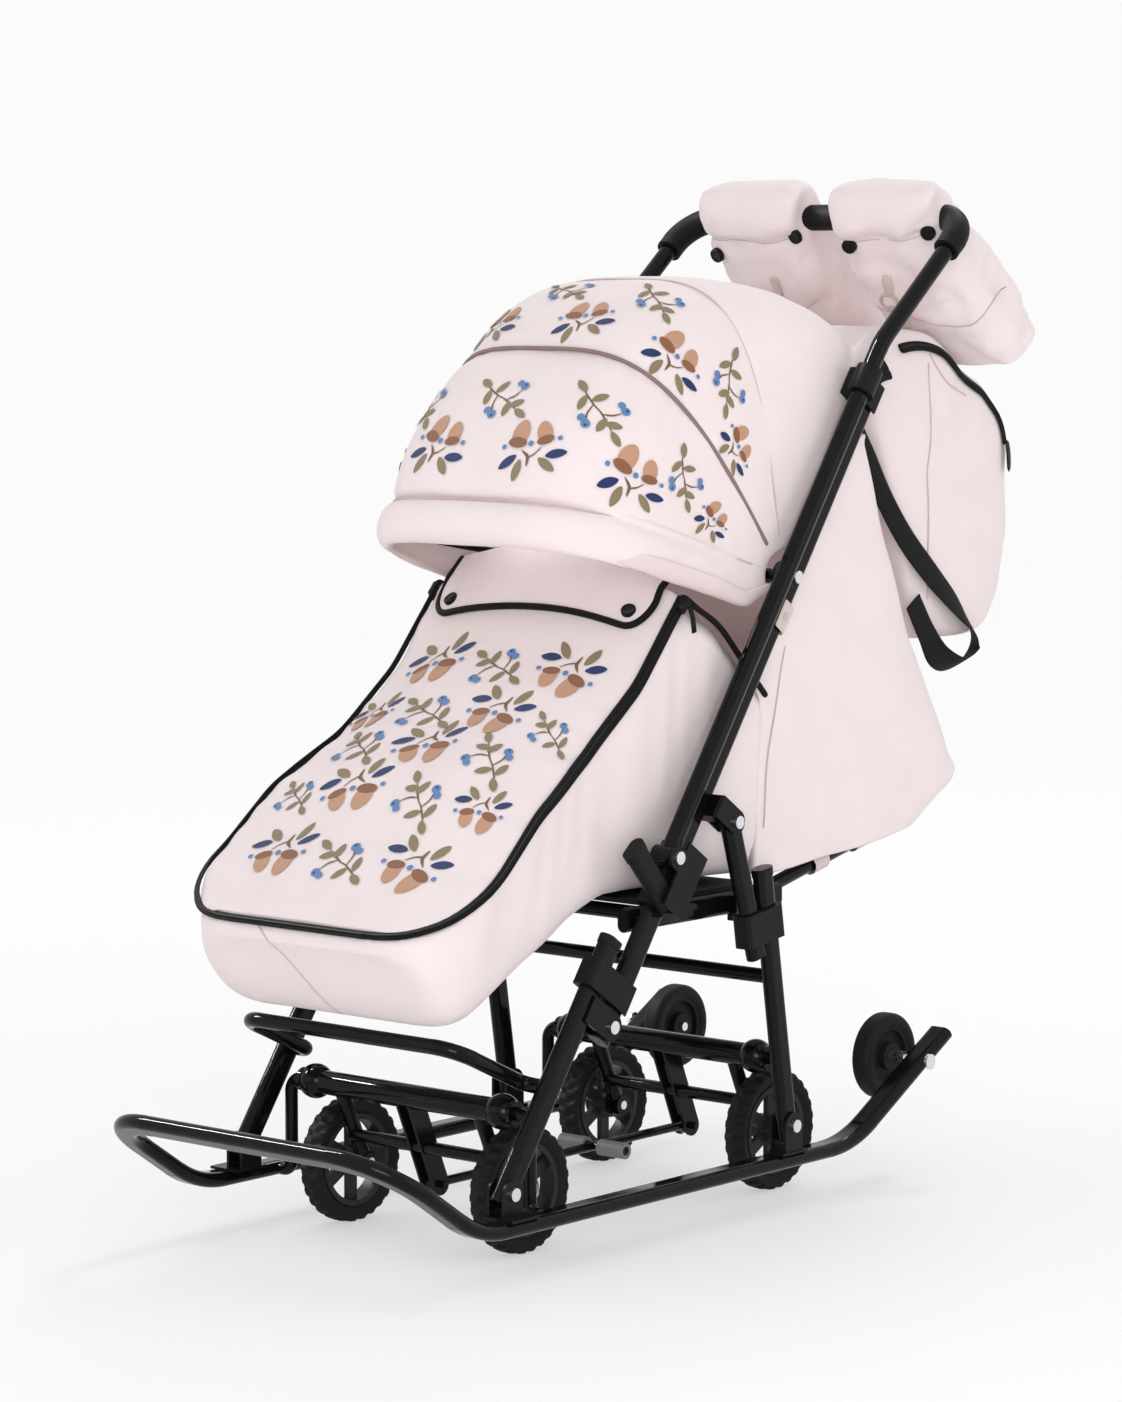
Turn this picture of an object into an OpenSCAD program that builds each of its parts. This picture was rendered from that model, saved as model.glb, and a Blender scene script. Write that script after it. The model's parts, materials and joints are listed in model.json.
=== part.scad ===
// Sled stroller: a child's seat on a folding frame with runners, transport wheels and a reversible handle.
// Millimetres, Z up, X across, the child faces -Y. The origin is on the ground, in the middle of the part.

/* [Runners] */
// Distance between the centre lines of the two runners
track = 400; // [380:1:440]
// Width of the runner tube
runner_wide = 30; // [24:1:36]
// Height of the runner tube
runner_tall = 16; // [12:1:20]
// Height of the flat run's centre line above the ground
runner_z = 55; // [50:1:64]
// Length of the flat run
runner_flat = 543; // [500:1:600]
// Where the flat run starts, at the front
runner_front = -328; // [-345:1:-315]
// Slope of the front of the runner
front_rise = 34; // [28:1:38]
// Slope of the rear of the runner
rear_rise = 30; // [24:0.5:34]

/* [Frame] */
// Depth of the flat-sided frame tubes
tube_deep = 28; // [24:1:30]
// Thickness of the flat-sided frame tubes
tube_wide = 15; // [12:1:16]
// Slope of the front legs and of the long upper tubes
frame_lean = 55.2; // [53:0.1:58]
// Length of the front legs above their foot bolts
front_leg_len = 285; // [275:1:295]
// Length of the upper tubes above the knee bolts
upper_len = 795; // [770:1:800]
// Plate thickness of the pressed brackets
plate = 3; // [2:0.5:4]
// Diameter of the pivot bolts
bolt_d = 8; // [6:0.5:9]

/* [Wheels] */
// Diameter of the transport wheels
wheel_d = 136; // [128:1:140]
// Width of the transport wheels
wheel_wide = 26; // [20:1:30]
// Distance between the left and right transport wheels
wheel_track = 242; // [234:1:250]
// Height of the tubes that the wheel frames swing on
swing_z = 157; // [152:1:162]
// Diameter of the small transit wheels on the runner ends
transit_d = 98; // [80:1:104]
// Width of the transit wheels
transit_wide = 24; // [16:1:26]

/* [Handle] */
// Diameter of the handle tube
handle_d = 20; // [16:1:22]
// Length of the handle's straight run from its pivot to the bend
handle_run = 639; // [625:1:660]
// Length of the run between the bend and the cross bar
handle_top = 160; // [140:1:190]
// Outer diameter of the grip
grip_d = 30; // [26:1:34]

/* [Seat] */
// Height of the seat rails' centre line
seat_z = 342; // [335:1:348]
// Outer width between the seat rails' outer faces
seat_wide = 349; // [340:1:352]
// Thickness of the padded cloth of the leg tub and the covers
cloth = 7; // [4:1:9]
// Slope of the backrest, let down for sleeping
back_lean = 13; // [8:1:20]
// Length of the backrest
back_len = 300; // [260:1:320]

/* [Canopy] */
// Reach of the canopy's front rim from its hinge
canopy_reach = 328; // [310:1:345]
// Height of the canopy above its hinge
canopy_high = 330; // [300:1:345]
// Half width of the canopy
canopy_half = 176; // [170:1:177]

/* [Bag] */
// Width of the bag
bag_wide = 240; // [200:1:260]
// Height of the bag's rear face
bag_high = 216; // [190:1:230]

/* [Hidden] */
$fn = 48;

// Shared clearances: a running fit, a gap between separate pieces and the overrun of a cut
fit = 0.1;
gap = 0.4;
overrun = 2;
// Turns from a side view's outline to a solid across the part
SIDE = [90, 0, 90];
RIGHT_ANGLE = 90;
HALF_TURN = 180;

// The rear of the bag, and the bends of the runner
bag_rear = 660;
front_tip_run = 56;
front_bend_r = 120;
front_corner_r = 70;
rear_bend_r = 150;
rear_run = 164;
tip_y = runner_front - front_bend_r * sin(front_rise) - (front_tip_run + front_corner_r) * cos(front_rise);
tip_z = runner_z + front_bend_r * (1 - cos(front_rise)) + (front_tip_run + front_corner_r) * sin(front_rise);
front_end = tip_y - (runner_wide - runner_tall) / 2 * cos(front_rise) - runner_tall / 2;
runner_x = track / 2;
runner_top = runner_z + runner_tall / 2;
runner_inner = runner_x - runner_wide / 2;

// Lateral places of the tubes: the frame stands inside the runners and clear of the seat
leg_inset = 14;
seat_gap = 4;
rear_step = 16;
upper_x = max(runner_x - leg_inset, seat_wide / 2 + seat_gap + tube_wide / 2);
rear_leg_x = upper_x + rear_step;
upper_inner = upper_x - tube_wide / 2;

function along(p, deg, d) = [p[0] + d * cos(deg), p[1] + d * sin(deg)];
function across(p, deg, d) = along(p, deg - RIGHT_ANGLE, d);
function span(p, q) = norm(q - p);
function slope(p, q) = atan2(q[1] - p[1], q[0] - p[0]);
function run_of(p, q, deg) = (q[0] - p[0]) * cos(deg) + (q[1] - p[1]) * sin(deg);

// Side-view places [y, z] of the frame's pivots, from the runner's flat run up
foot_set = 23;
foot_high = 25;
rear_foot_set = 73;
rear_foot_high = 31;
knee_up = 213.59;
knee_off = 42.75;
rear_top_up = 269.88;
rear_top_off = 41.38;
foot_front = [runner_front + foot_set, runner_top + foot_high];
foot_rear = [runner_front + runner_flat - rear_foot_set, runner_top + rear_foot_high];
knee = across(along(foot_front, frame_lean, knee_up), frame_lean, knee_off);
rear_top = across(along(knee, frame_lean, rear_top_up), frame_lean, rear_top_off);

module stand() { translate([0, -mid_y, 0]) children(); }
module at(p, x = 0) { translate([x, p[0], p[1]]) children(); }
module lean(deg) { rotate([deg - RIGHT_ANGLE, 0, 0]) children(); }
module right() { children(); }
module left() { mirror([1, 0, 0]) children(); }
module pair() {
    children();
    mirror([1, 0, 0]) children();
}
// A cylinder across the part, from x0 to x1
module rod(p, x0, x1, d) { at(p, x0) rotate([0, RIGHT_ANGLE, 0]) cylinder(d = d, h = x1 - x0); }
// A plate across x0 to x1 with a side-view outline
module sheet(x0, x1) { translate([x0, 0, 0]) rotate(SIDE) linear_extrude(x1 - x0) children(); }

module oval(deep, wide) {
    square([wide, deep - wide], center = true);
    translate([0, (deep - wide) / 2]) circle(d = wide);
    translate([0, (wide - deep) / 2]) circle(d = wide);
}
module round_rect(x0, y0, x1, y1, r) {
    translate([x0 + r, y0]) square([x1 - x0 - 2 * r, y1 - y0]);
    translate([x0, y0 + r]) square([x1 - x0, y1 - y0 - 2 * r]);
    for (x = [x0 + r, x1 - r], y = [y0 + r, y1 - r]) translate([x, y]) circle(r);
}
// A tube bent step by step: each step is [straight run, turn, bend radius, roll towards the bend].
// A bend swells by a hair, and the straight runs reach a little way into it
weld = 1;
swell_share = 1.015;
module bent(steps, i = 0) {
    if (i < len(steps)) {
        run = steps[i][0];
        turn = steps[i][1];
        radius = steps[i][2];
        roll = steps[i][3];
        before = i > 0 ? weld : 0;
        after = turn > 0 ? weld : 0;
        if (run > 0) translate([0, 0, -before]) linear_extrude(run + before + after) children(0);
        translate([0, 0, run]) rotate([0, 0, roll]) {
            if (turn > 0) {
                translate([radius, 0, 0]) rotate([RIGHT_ANGLE, 0, HALF_TURN]) rotate_extrude(angle = turn)
                    translate([radius, 0]) mirror([1, 0]) rotate(-roll) scale(swell_share) children(0);
            }
            translate([radius, 0, 0]) rotate([0, turn, 0]) translate([-radius, 0, 0]) rotate([0, 0, -roll])
                bent(steps, i + 1) children(0);
        }
    }
}
// A closed sheet between two grids of points with equal rows and columns
module quilt(top, under) {
    rows = len(top);
    cols = len(top[0]);
    half = rows * cols;
    function flat(grid) = [for (row = grid) for (p = row) p];
    skin = [for (i = [0 : rows - 2], j = [0 : cols - 2]) let (a = i * cols + j, d = a + cols)
        each [[a, a + 1, d + 1], [a, d + 1, d]]];
    lining = [for (f = skin) [f[0] + half, f[2] + half, f[1] + half]];
    ends = [for (j = [0 : cols - 2]) let (a = j, d = (rows - 1) * cols + j)
        each [[a + 1, a, a + half], [a + 1, a + half, a + 1 + half],
            [d, d + 1, d + 1 + half], [d, d + 1 + half, d + half]]];
    sides = [for (i = [0 : rows - 2]) let (a = i * cols, d = a + cols, b = a + cols - 1, e = b + cols)
        each [[a, d, d + half], [a, d + half, a + half], [e, b, b + half], [e, b + half, e + half]]];
    polyhedron(concat(flat(top), flat(under)), concat(skin, lining, ends, sides));
}
// A hand-bent line's outline, a width to both sides of it
function heading(path, i) =
    slope(path[max(i - 1, 0)], path[min(i + 1, len(path) - 1)]);
function ribbon(path, wide) = concat(
    [for (i = [0 : len(path) - 1]) across(path[i], heading(path, i), wide / 2)],
    [for (i = [len(path) - 1 : -1 : 0]) across(path[i], heading(path, i), -wide / 2)]);

// Runners: each is half of the loop, and they meet at the middle of the raised front
transit_run = 112;
rear_bend_end = [runner_front + runner_flat + rear_bend_r * sin(rear_rise),
    runner_z + rear_bend_r * (1 - cos(rear_rise))];
transit_axle = along(rear_bend_end, rear_rise, transit_run);
transit_bolt_d = 10;
transit_space = 20;
spacer_d = 16;
transit_x = runner_inner - transit_space - transit_wide / 2;
module runner() {
    color("#161618") stand() difference() {
        translate([0, tip_y, tip_z]) rotate([RIGHT_ANGLE - front_rise, 0, 0]) rotate([0, RIGHT_ANGLE, 0])
            bent([[runner_x - front_corner_r, RIGHT_ANGLE, front_corner_r, 0],
                [front_tip_run, front_rise, front_bend_r, RIGHT_ANGLE],
                [runner_flat, rear_rise, rear_bend_r, RIGHT_ANGLE], [rear_run, 0, 0, 0]])
            rotate(RIGHT_ANGLE) oval(runner_wide, runner_tall);
        rod(transit_axle, 0, track, transit_bolt_d + 2 * fit);
    }
}
module runner_left() { left() runner(); }
module runner_right() { right() runner(); }

// Foot brackets: a base on the runner and two cheeks that hold the foot of a leg
cheek_r = 15;
foot_base_len = 44;
foot_swell = 1;
foot_wide = tube_wide + foot_swell;
cheek_in = foot_wide / 2 + gap;
cheek_out = cheek_in + plate;
module foot_bracket(p, x) {
    base_in = min(x - cheek_out, runner_x);
    base_out = max(x + cheek_out, runner_x + runner_wide / 2);
    difference() {
        union() {
            translate([base_in, p[0] - foot_base_len / 2, runner_top])
                cube([base_out - base_in, foot_base_len, plate]);
            for (x0 = [x - cheek_out, x + cheek_in]) sheet(x0, x0 + plate) {
                translate([p[0] - cheek_r, runner_top]) square([2 * cheek_r, p[1] - runner_top]);
                translate(p) circle(cheek_r);
            }
        }
        rod(p, x - cheek_out - overrun, x + cheek_out + overrun, bolt_d + 2 * fit);
    }
}
module foot_brackets() {
    color("#1c1c1e") stand() pair() {
        foot_bracket(foot_front, upper_x);
        foot_bracket(foot_rear, rear_leg_x);
    }
}

// Pivot rods: bent from the runner's inner side up and inwards, one pair for each wheel frame
swing_set = 57;
swing_rear_set = 34;
swing_front = [foot_front[0] + swing_set, swing_z];
swing_rear = [foot_rear[0] + swing_rear_set, swing_z];
rod_d = 14;
rod_set = 15;
rod_x = runner_inner - rod_set;
rod_foot_r = 12;
rod_elbow_r = 16;
rod_reach = 60;
module pivot_rod(p) {
    translate([runner_inner, p[0], runner_z]) rotate([0, -RIGHT_ANGLE, 0])
        bent([[runner_inner - rod_x - rod_foot_r, RIGHT_ANGLE, rod_foot_r, 0],
            [swing_z - runner_z - rod_foot_r - rod_elbow_r, RIGHT_ANGLE, rod_elbow_r, HALF_TURN],
            [rod_reach - rod_elbow_r, 0, 0, 0]]) circle(d = rod_d);
}
module front_pivot_rods() { color("#161618") stand() pair() pivot_rod(swing_front); }
module rear_pivot_rods() { color("#161618") stand() pair() pivot_rod(swing_rear); }

// Pan-head bolts across the part, with their heads outside
head_d = 14;
head_high = 4;
module pan_bolt(p, x0, x1, d) {
    rod(p, x0, x1, d);
    rod(p, x1, x1 + head_high, head_d * d / bolt_d);
}
module base_bolts() {
    color("#c9cbcd") stand() pair() {
        pan_bolt(foot_front, upper_x - cheek_out, upper_x + cheek_out, bolt_d);
        pan_bolt(foot_rear, rear_leg_x - cheek_out, rear_leg_x + cheek_out, bolt_d);
        pan_bolt(transit_axle, transit_x - transit_wide / 2 - plate, runner_x + runner_wide / 2,
            transit_bolt_d);
        rod(transit_axle, transit_x + transit_wide / 2, runner_inner - gap, spacer_d);
    }
}

// Wheels: a tyre on a spoked rim
hub_d = 32;
rim_d = 100;
rim_wall = 6;
spokes = 6;
spoke_wide = 14;
tread_r = 7;
axle_d = 10;
module tyre_ring(d, inner_d, wide, round_r) {
    rotate([0, RIGHT_ANGLE, 0]) rotate_extrude()
        round_rect(inner_d / 2, -wide / 2, d / 2, wide / 2, round_r);
}
module rim_body(d, wide, bore) {
    rotate([0, RIGHT_ANGLE, 0]) difference() {
        union() {
            cylinder(d = hub_d, h = wide, center = true);
            difference() {
                cylinder(d = d, h = wide - rim_wall, center = true);
                cylinder(d = d - 2 * rim_wall, h = wide + overrun, center = true);
            }
            intersection() {
                cylinder(d = d - rim_wall, h = wide, center = true);
                for (i = [0 : spokes - 1]) rotate([0, 0, i * 2 * HALF_TURN / spokes])
                    translate([0, -spoke_wide / 2, -rim_wall / 2]) cube([d / 2, spoke_wide, rim_wall]);
            }
        }
        cylinder(d = bore, h = wide + overrun, center = true);
    }
}
wheel_x = wheel_track / 2;
wheel_back = 40;
wheel_z = wheel_d / 2;
wheel_front = [swing_front[0] + wheel_back, wheel_z];
wheel_rear = [swing_rear[0] + wheel_back, wheel_z];
module tyre(p) {
    color("#1a1a1b") stand() at(p, wheel_x) difference() {
        tyre_ring(wheel_d, rim_d - rim_wall, wheel_wide, tread_r);
        rotate([0, RIGHT_ANGLE, 0]) cylinder(d = rim_d, h = wheel_wide + overrun, center = true);
    }
}
module rim(p) { color("#2a2b2d") stand() at(p, wheel_x) rim_body(rim_d, wheel_wide, axle_d + 2 * fit); }
module tyre_front_left() { left() tyre(wheel_front); }
module tyre_front_right() { right() tyre(wheel_front); }
module tyre_rear_left() { left() tyre(wheel_rear); }
module tyre_rear_right() { right() tyre(wheel_rear); }
module rim_front_left() { left() rim(wheel_front); }
module rim_front_right() { right() rim(wheel_front); }
module rim_rear_left() { left() rim(wheel_rear); }
module rim_rear_right() { right() rim(wheel_rear); }

// Transit wheels: a tyre on a dished disc
transit_tread = 13;
transit_rim_d = transit_d - 2 * transit_tread;
module disc_body(d, wide, bore) {
    rotate([0, RIGHT_ANGLE, 0]) difference() {
        union() {
            cylinder(d = hub_d, h = wide, center = true);
            cylinder(d = d, h = rim_wall, center = true);
            difference() {
                cylinder(d = d, h = wide - rim_wall, center = true);
                cylinder(d = d - 2 * rim_wall, h = wide + overrun, center = true);
            }
        }
        cylinder(d = bore, h = wide + overrun, center = true);
    }
}
module transit_wheel() {
    color("#1a1a1b") stand() at(transit_axle, transit_x) {
        disc_body(transit_rim_d, transit_wide - gap, transit_bolt_d + 2 * fit);
        tyre_ring(transit_d, transit_rim_d - rim_wall, transit_wide - gap, tread_r);
    }
}
module transit_wheel_left() { left() transit_wheel(); }
module transit_wheel_right() { right() transit_wheel(); }

// Wheel frames: a sleeve on the pivot rods, two arms to the wheels, a cross tube and a fork for the link
sleeve_d = 26;
sleeve_half = rod_x - rod_elbow_r - overrun;
ball_d = 38;
ball_step = 12;
ball_x = wheel_x + ball_step;
arm_d = 16;
boss_lip = 1;
arm_x = wheel_x - wheel_wide / 2 - gap - boss_lip - arm_d / 2;
boss_d = 24;
boss_in = arm_x - arm_d / 2 - boss_lip;
boss_out = arm_x + arm_d / 2 + boss_lip;
stay_d = 14;
stay = [20, -57];
pin_back = 42;
pin_drop = 100;
pin_d = 8;
link_d = 10;
eye_lip = 1;
eye_in = link_d / 2 + eye_lip;
fork_in = eye_in + gap;
fork_wide = 24;
arm_drop = swing_z - wheel_z;
arm_len = norm([wheel_back, arm_drop]);
module wheel_frame(p) {
    axle = [p[0] + wheel_back, wheel_z];
    pin = [p[0] + pin_back, p[1] - pin_drop];
    difference() {
        union() {
            rod(p, -sleeve_half, sleeve_half, sleeve_d);
            pair() at(p, ball_x) rotate([0, RIGHT_ANGLE, 0]) rotate_extrude() intersection() {
                circle(d = ball_d);
                translate([rod_d / 2 + overrun, -ball_d]) square([ball_d, 2 * ball_d]);
            }
            pair() at(p, arm_x) lean(slope(p, axle)) cylinder(d = arm_d, h = arm_len);
            pair() rod(axle, boss_in, boss_out, boss_d);
            rod(p + stay, -arm_x, arm_x, stay_d);
            pair() sheet(fork_in, fork_in + plate) {
                translate(p) rotate(slope(p, pin)) translate([0, -fork_wide / 2])
                    square([span(p, pin), fork_wide]);
                translate(pin) circle(d = fork_wide);
            }
            rod(pin, -fork_in - plate - fork_in, fork_in + plate + fork_in, pin_d);
        }
        rod(p, -track, track, rod_d + 2 * fit);
        pair() rod(axle, boss_in - overrun, boss_out + overrun, axle_d);
    }
}
module front_wheel_frame() { color("#161618") stand() wheel_frame(swing_front); }
module rear_wheel_frame() { color("#161618") stand() wheel_frame(swing_rear); }
axle_nut_d = 18;
axle_nut = 6;
module axle_bolts(p) {
    pair() {
        rod(p, boss_in, wheel_x + wheel_wide / 2 + gap, axle_d);
        rod(p, wheel_x + wheel_wide / 2 + gap, wheel_x + wheel_wide / 2 + gap + axle_nut, axle_nut_d);
    }
}
module front_axles() { color("#9b9da0") stand() axle_bolts(wheel_front); }
module rear_axles() { color("#9b9da0") stand() axle_bolts(wheel_rear); }

// The link with its pedal bar joins the two wheel frames
pedal_y = 56;
pedal_half = 46;
grip_sleeve_d = 18;
eye_d = 20;
pin_front = [swing_front[0] + pin_back, swing_z - pin_drop];
pin_rear = [swing_rear[0] + pin_back, swing_z - pin_drop];
pedal = [pedal_y, pin_front[1]];
module link_bar() {
    color("#161618") stand() difference() {
        union() {
            at(pin_front) lean(slope(pin_front, pin_rear))
                cylinder(d = link_d, h = span(pin_front, pin_rear));
            rod(pin_front, -eye_in, eye_in, eye_d);
            rod(pin_rear, -eye_in, eye_in, eye_d);
            rod(pedal, -pedal_half, pedal_half, link_d);
        }
        rod(pin_front, -track, track, pin_d + 2 * fit);
        rod(pin_rear, -track, track, pin_d + 2 * fit);
    }
}
module pedal_grips() {
    color("#7d7f82") stand() pair() difference() {
        rod(pedal, link_d, pedal_half, grip_sleeve_d);
        rod(pedal, 0, track, link_d);
    }
}

// Front legs with the knee cheeks that hold the foot of the upper tubes
leg_foot = -14;
knee_r = 15;
knee_out = foot_wide / 2 + plate - fit;
knee_in = foot_wide / 2 - fit;
leg_top = along(foot_front, frame_lean, front_leg_len);
module front_leg() {
    color("#161618") stand() difference() {
        union() {
            at(foot_front, upper_x) lean(frame_lean) translate([0, 0, leg_foot])
                linear_extrude(front_leg_len - leg_foot) oval(tube_deep, foot_wide);
            for (x0 = [upper_x - knee_out, upper_x + knee_in]) sheet(x0, x0 + plate) {
                translate(knee) circle(knee_r);
                translate(along(foot_front, frame_lean, knee_up - knee_r)) rotate(frame_lean - RIGHT_ANGLE)
                    square([knee_off, 2 * knee_r]);
            }
        }
        rod(foot_front, 0, track, bolt_d + 2 * fit);
        rod(knee, 0, track, bolt_d);
    }
}
module front_leg_left() { left() front_leg(); }
module front_leg_right() { right() front_leg(); }
cap_high = 9;
cap_rim = 2;
module tube_cap(deep, wide) { linear_extrude(cap_high) oval(deep + cap_rim, wide + cap_rim); }
module front_leg_caps() {
    color("#1f1f21") stand() pair() at(leg_top, upper_x) lean(frame_lean) tube_cap(tube_deep, foot_wide);
}
module knee_pins() {
    color("#c9cbcd") stand() pair() pan_bolt(knee, upper_x - knee_out, upper_x + knee_out, bolt_d);
}

// The bow between the front legs carries the foot end of the leg tub
bow_d = 16;
bow_lean = 155;
bow_run = 120;
bow_set = 26;
bow_x = upper_inner - bow_set;
bow_foot_r = 14;
bow_corner_r = 30;
bow_leg = 74;
module front_bow() {
    foot = along(foot_front, frame_lean, bow_run);
    color("#161618") stand() pair() at(foot, upper_x - foot_wide / 2) rotate([bow_lean - RIGHT_ANGLE, 0, 0])
        rotate([0, -RIGHT_ANGLE, 0])
        bent([[upper_x - foot_wide / 2 - bow_x - bow_foot_r, RIGHT_ANGLE, bow_foot_r, 0],
            [bow_leg, RIGHT_ANGLE, bow_corner_r, HALF_TURN], [bow_x - bow_corner_r, 0, 0, 0]])
        circle(d = bow_d);
}

// Knee locks: a collar round the front leg whose cheeks reach over the upper tube
lock_low = 233;
lock_high = 32;
lock_wall = 4;
lock_r = 5;
module knee_lock() {
    in_x = foot_wide / 2 + gap;
    front_y = -tube_deep / 2 - gap - lock_wall;
    rear_y = knee_off + tube_deep / 2;
    color("#1f1f21") stand() at(foot_front, upper_x) lean(frame_lean)
        translate([0, 0, lock_low]) difference() {
        linear_extrude(lock_high) round_rect(-in_x - lock_wall, front_y, in_x + lock_wall, rear_y, lock_r);
        translate([0, 0, -overrun]) linear_extrude(lock_high + 2 * overrun) {
            oval(tube_deep + 2 * gap, foot_wide + 2 * gap);
            translate([-in_x, knee_off - tube_deep / 2 - gap])
                square([2 * in_x, tube_deep + 2 * gap + lock_r]);
        }
    }
}
module knee_lock_left() { left() knee_lock(); }
module knee_lock_right() { right() knee_lock(); }

// Upper tubes with the plates for the rear legs' tops
upper_foot = -18;
tab_r = 13;
tab_web = 6;
rear_deep = 26;
module upper_tube() {
    tab_in = rear_leg_x - tube_wide / 2 - gap - plate;
    tab_out = rear_leg_x + tube_wide / 2 + gap;
    color("#161618") stand() at(knee, upper_x) lean(frame_lean) difference() {
        union() {
            translate([0, 0, upper_foot]) linear_extrude(upper_len - upper_foot) oval(tube_deep, tube_wide);
            translate([0, 0, rear_top_up]) {
                translate([-tube_wide / 2, tube_deep / 2 - tube_wide / 2, -tab_r])
                    cube([tab_out + plate - upper_x + tube_wide / 2, tube_wide / 2 + tab_web, 2 * tab_r]);
                for (x0 = [tab_in - upper_x, tab_out - upper_x])
                    translate([x0, 0, 0]) rotate([0, RIGHT_ANGLE, 0]) linear_extrude(plate) {
                        translate([0, rear_top_off]) circle(tab_r);
                        translate([-tab_r, tube_deep / 2]) square([2 * tab_r, rear_top_off - tube_deep / 2]);
                    }
            }
        }
        rotate([0, RIGHT_ANGLE, 0]) cylinder(d = bolt_d + 2 * fit, h = track, center = true);
    }
}
module upper_tube_left() { left() upper_tube(); }
module upper_tube_right() { right() upper_tube(); }

// Handle hinges: a moulded clamp on the upper tube, with ears for the handle and a stub that it rests on
// when it is reversed
handle_step = 14;
handle_x = upper_x + handle_step;
handle_clear = 2.4;
handle_off = tube_deep / 2 + handle_d / 2 + handle_clear;
pivot_run = 189;
handle_pivot = across(along(knee, frame_lean, pivot_run), frame_lean, -handle_off);
hinge_low = 138;
hinge_high = 74;
hinge_wall = 4;
ear_r = 12;
eye_lip_side = 1;
eye_half = handle_d / 2 + eye_lip_side;
ear = 3;
bridge_front = 4;
stub_lean = 131;
stub_len = 76;
stub_low = 147;
stub_step = 1;
stub_x = handle_x + stub_step;
module handle_hinge() {
    half_x = tube_wide / 2 + hinge_wall;
    half_y = tube_deep / 2 + hinge_wall;
    ear_out = handle_x + eye_half + gap;
    color("#1f1f21") stand() difference() {
        union() {
            at(knee, upper_x) lean(frame_lean) translate([0, 0, hinge_low])
                linear_extrude(hinge_high) {
                round_rect(-half_x, -half_y, half_x, half_y, hinge_wall);
                translate([0, bridge_front]) square([ear_out + ear - upper_x, half_y - bridge_front]);
                translate([ear_out - upper_x, -half_y]) square([ear, 2 * half_y]);
            }
            for (x0 = [handle_x - eye_half - gap - ear, ear_out]) sheet(x0, x0 + ear) {
                translate(handle_pivot) circle(ear_r);
                translate(handle_pivot) rotate(frame_lean - RIGHT_ANGLE) translate([0, -ear_r])
                    square([handle_off - tube_deep / 2 - hinge_wall / 2, 2 * ear_r]);
            }
            at(along(knee, frame_lean, stub_low), stub_x) lean(stub_lean) {
                linear_extrude(stub_len) oval(tube_deep, tube_wide);
                translate([0, 0, stub_len]) tube_cap(tube_deep, tube_wide);
            }
        }
        rod(handle_pivot, 0, 2 * handle_x, bolt_d);
        rod(handle_pivot, handle_x - eye_half - gap, handle_x + eye_half + gap, 2 * (ear_r + gap));
        at(handle_pivot, handle_x) lean(frame_lean)
            cylinder(r = handle_d / 2 + handle_clear / 2, h = hinge_high);
        at(knee, upper_x) lean(frame_lean) linear_extrude(upper_len)
            oval(tube_deep + 2 * fit, tube_wide + 2 * fit);
    }
}
module handle_hinges() { pair() handle_hinge(); }

// Canopy hinges on the inner side of the upper tubes, each with the pin that its bows turn on
canopy_run = 550;
canopy_pivot = along(knee, frame_lean, canopy_run);
disc_d = 34;
disc_wide = 6;
bow_wire_d = 8;
bow_tuck = 23.5;
mid_bow_step = 10;
front_bow_x = canopy_half - bow_tuck;
mid_bow_x = front_bow_x - mid_bow_step;
module canopy_hinges() {
    color("#1f1f21") stand() pair() {
        rod(canopy_pivot, upper_inner - disc_wide, upper_inner, disc_d);
        rod(canopy_pivot, mid_bow_x - bow_wire_d, upper_inner, bolt_d);
    }
}

// The ends of the seat rails
rail_front = -95;
rail_rear = 168;

// Bolts on the upper frame: handle pivots, seat pins, rear leg heads and canopy heads
seat_run = (seat_z - knee[1]) / sin(frame_lean);
seat_pivot = along(knee, frame_lean, seat_run);
rail_wide = tube_wide;
rail_x = seat_wide / 2 - rail_wide / 2;
seat_pin_d = 10;
module frame_bolts() {
    color("#c9cbcd") stand() pair() {
        pan_bolt(handle_pivot, handle_x - eye_half - gap - ear, handle_x + eye_half + gap + ear, bolt_d);
        rod(seat_pivot, rail_x - rail_wide / 2, upper_inner, seat_pin_d);
        head_x = rear_leg_x + tube_wide / 2 + gap + plate;
        rod(rear_top, head_x, head_x + head_high, head_d);
        rod(canopy_pivot, upper_x + tube_wide / 2, upper_x + tube_wide / 2 + head_high, head_d);
    }
}

// Rear legs: a lower tube and an upper link, joined side by side
rear_foot = -16;
hook_set = 59.2;
hook_drop = 38.6;
hook_place = [rail_rear - hook_set, seat_z - hook_drop];
hook_low = span(foot_rear, hook_place);
rear_lower_lean = slope(foot_rear, hook_place);
rear_lower_top = 70;
rear_lower_len = hook_low + rear_lower_top;
link_drop = 14.9;
link_off = 23.5;
link_low = across(along(foot_rear, rear_lower_lean, hook_low - link_drop), rear_lower_lean, -link_off);
module rear_leg() {
    color("#161618") stand() difference() {
        union() {
            at(foot_rear, rear_leg_x) lean(rear_lower_lean) translate([0, 0, rear_foot])
                linear_extrude(rear_lower_len - rear_foot) oval(rear_deep, tube_wide);
            at(link_low, rear_leg_x) lean(slope(link_low, rear_top))
                linear_extrude(span(link_low, rear_top)) oval(rear_deep, tube_wide);
            rod(rear_top, rear_leg_x - tube_wide / 2, rear_leg_x + tube_wide / 2, rear_deep);
            at(along(foot_rear, rear_lower_lean, rear_lower_len), rear_leg_x)
                lean(rear_lower_lean) tube_cap(rear_deep, tube_wide);
        }
        rod(foot_rear, 0, track, bolt_d + 2 * fit);
    }
}
module rear_leg_left() { left() rear_leg(); }
module rear_leg_right() { right() rear_leg(); }
rear_bar_drop = 44;
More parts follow.
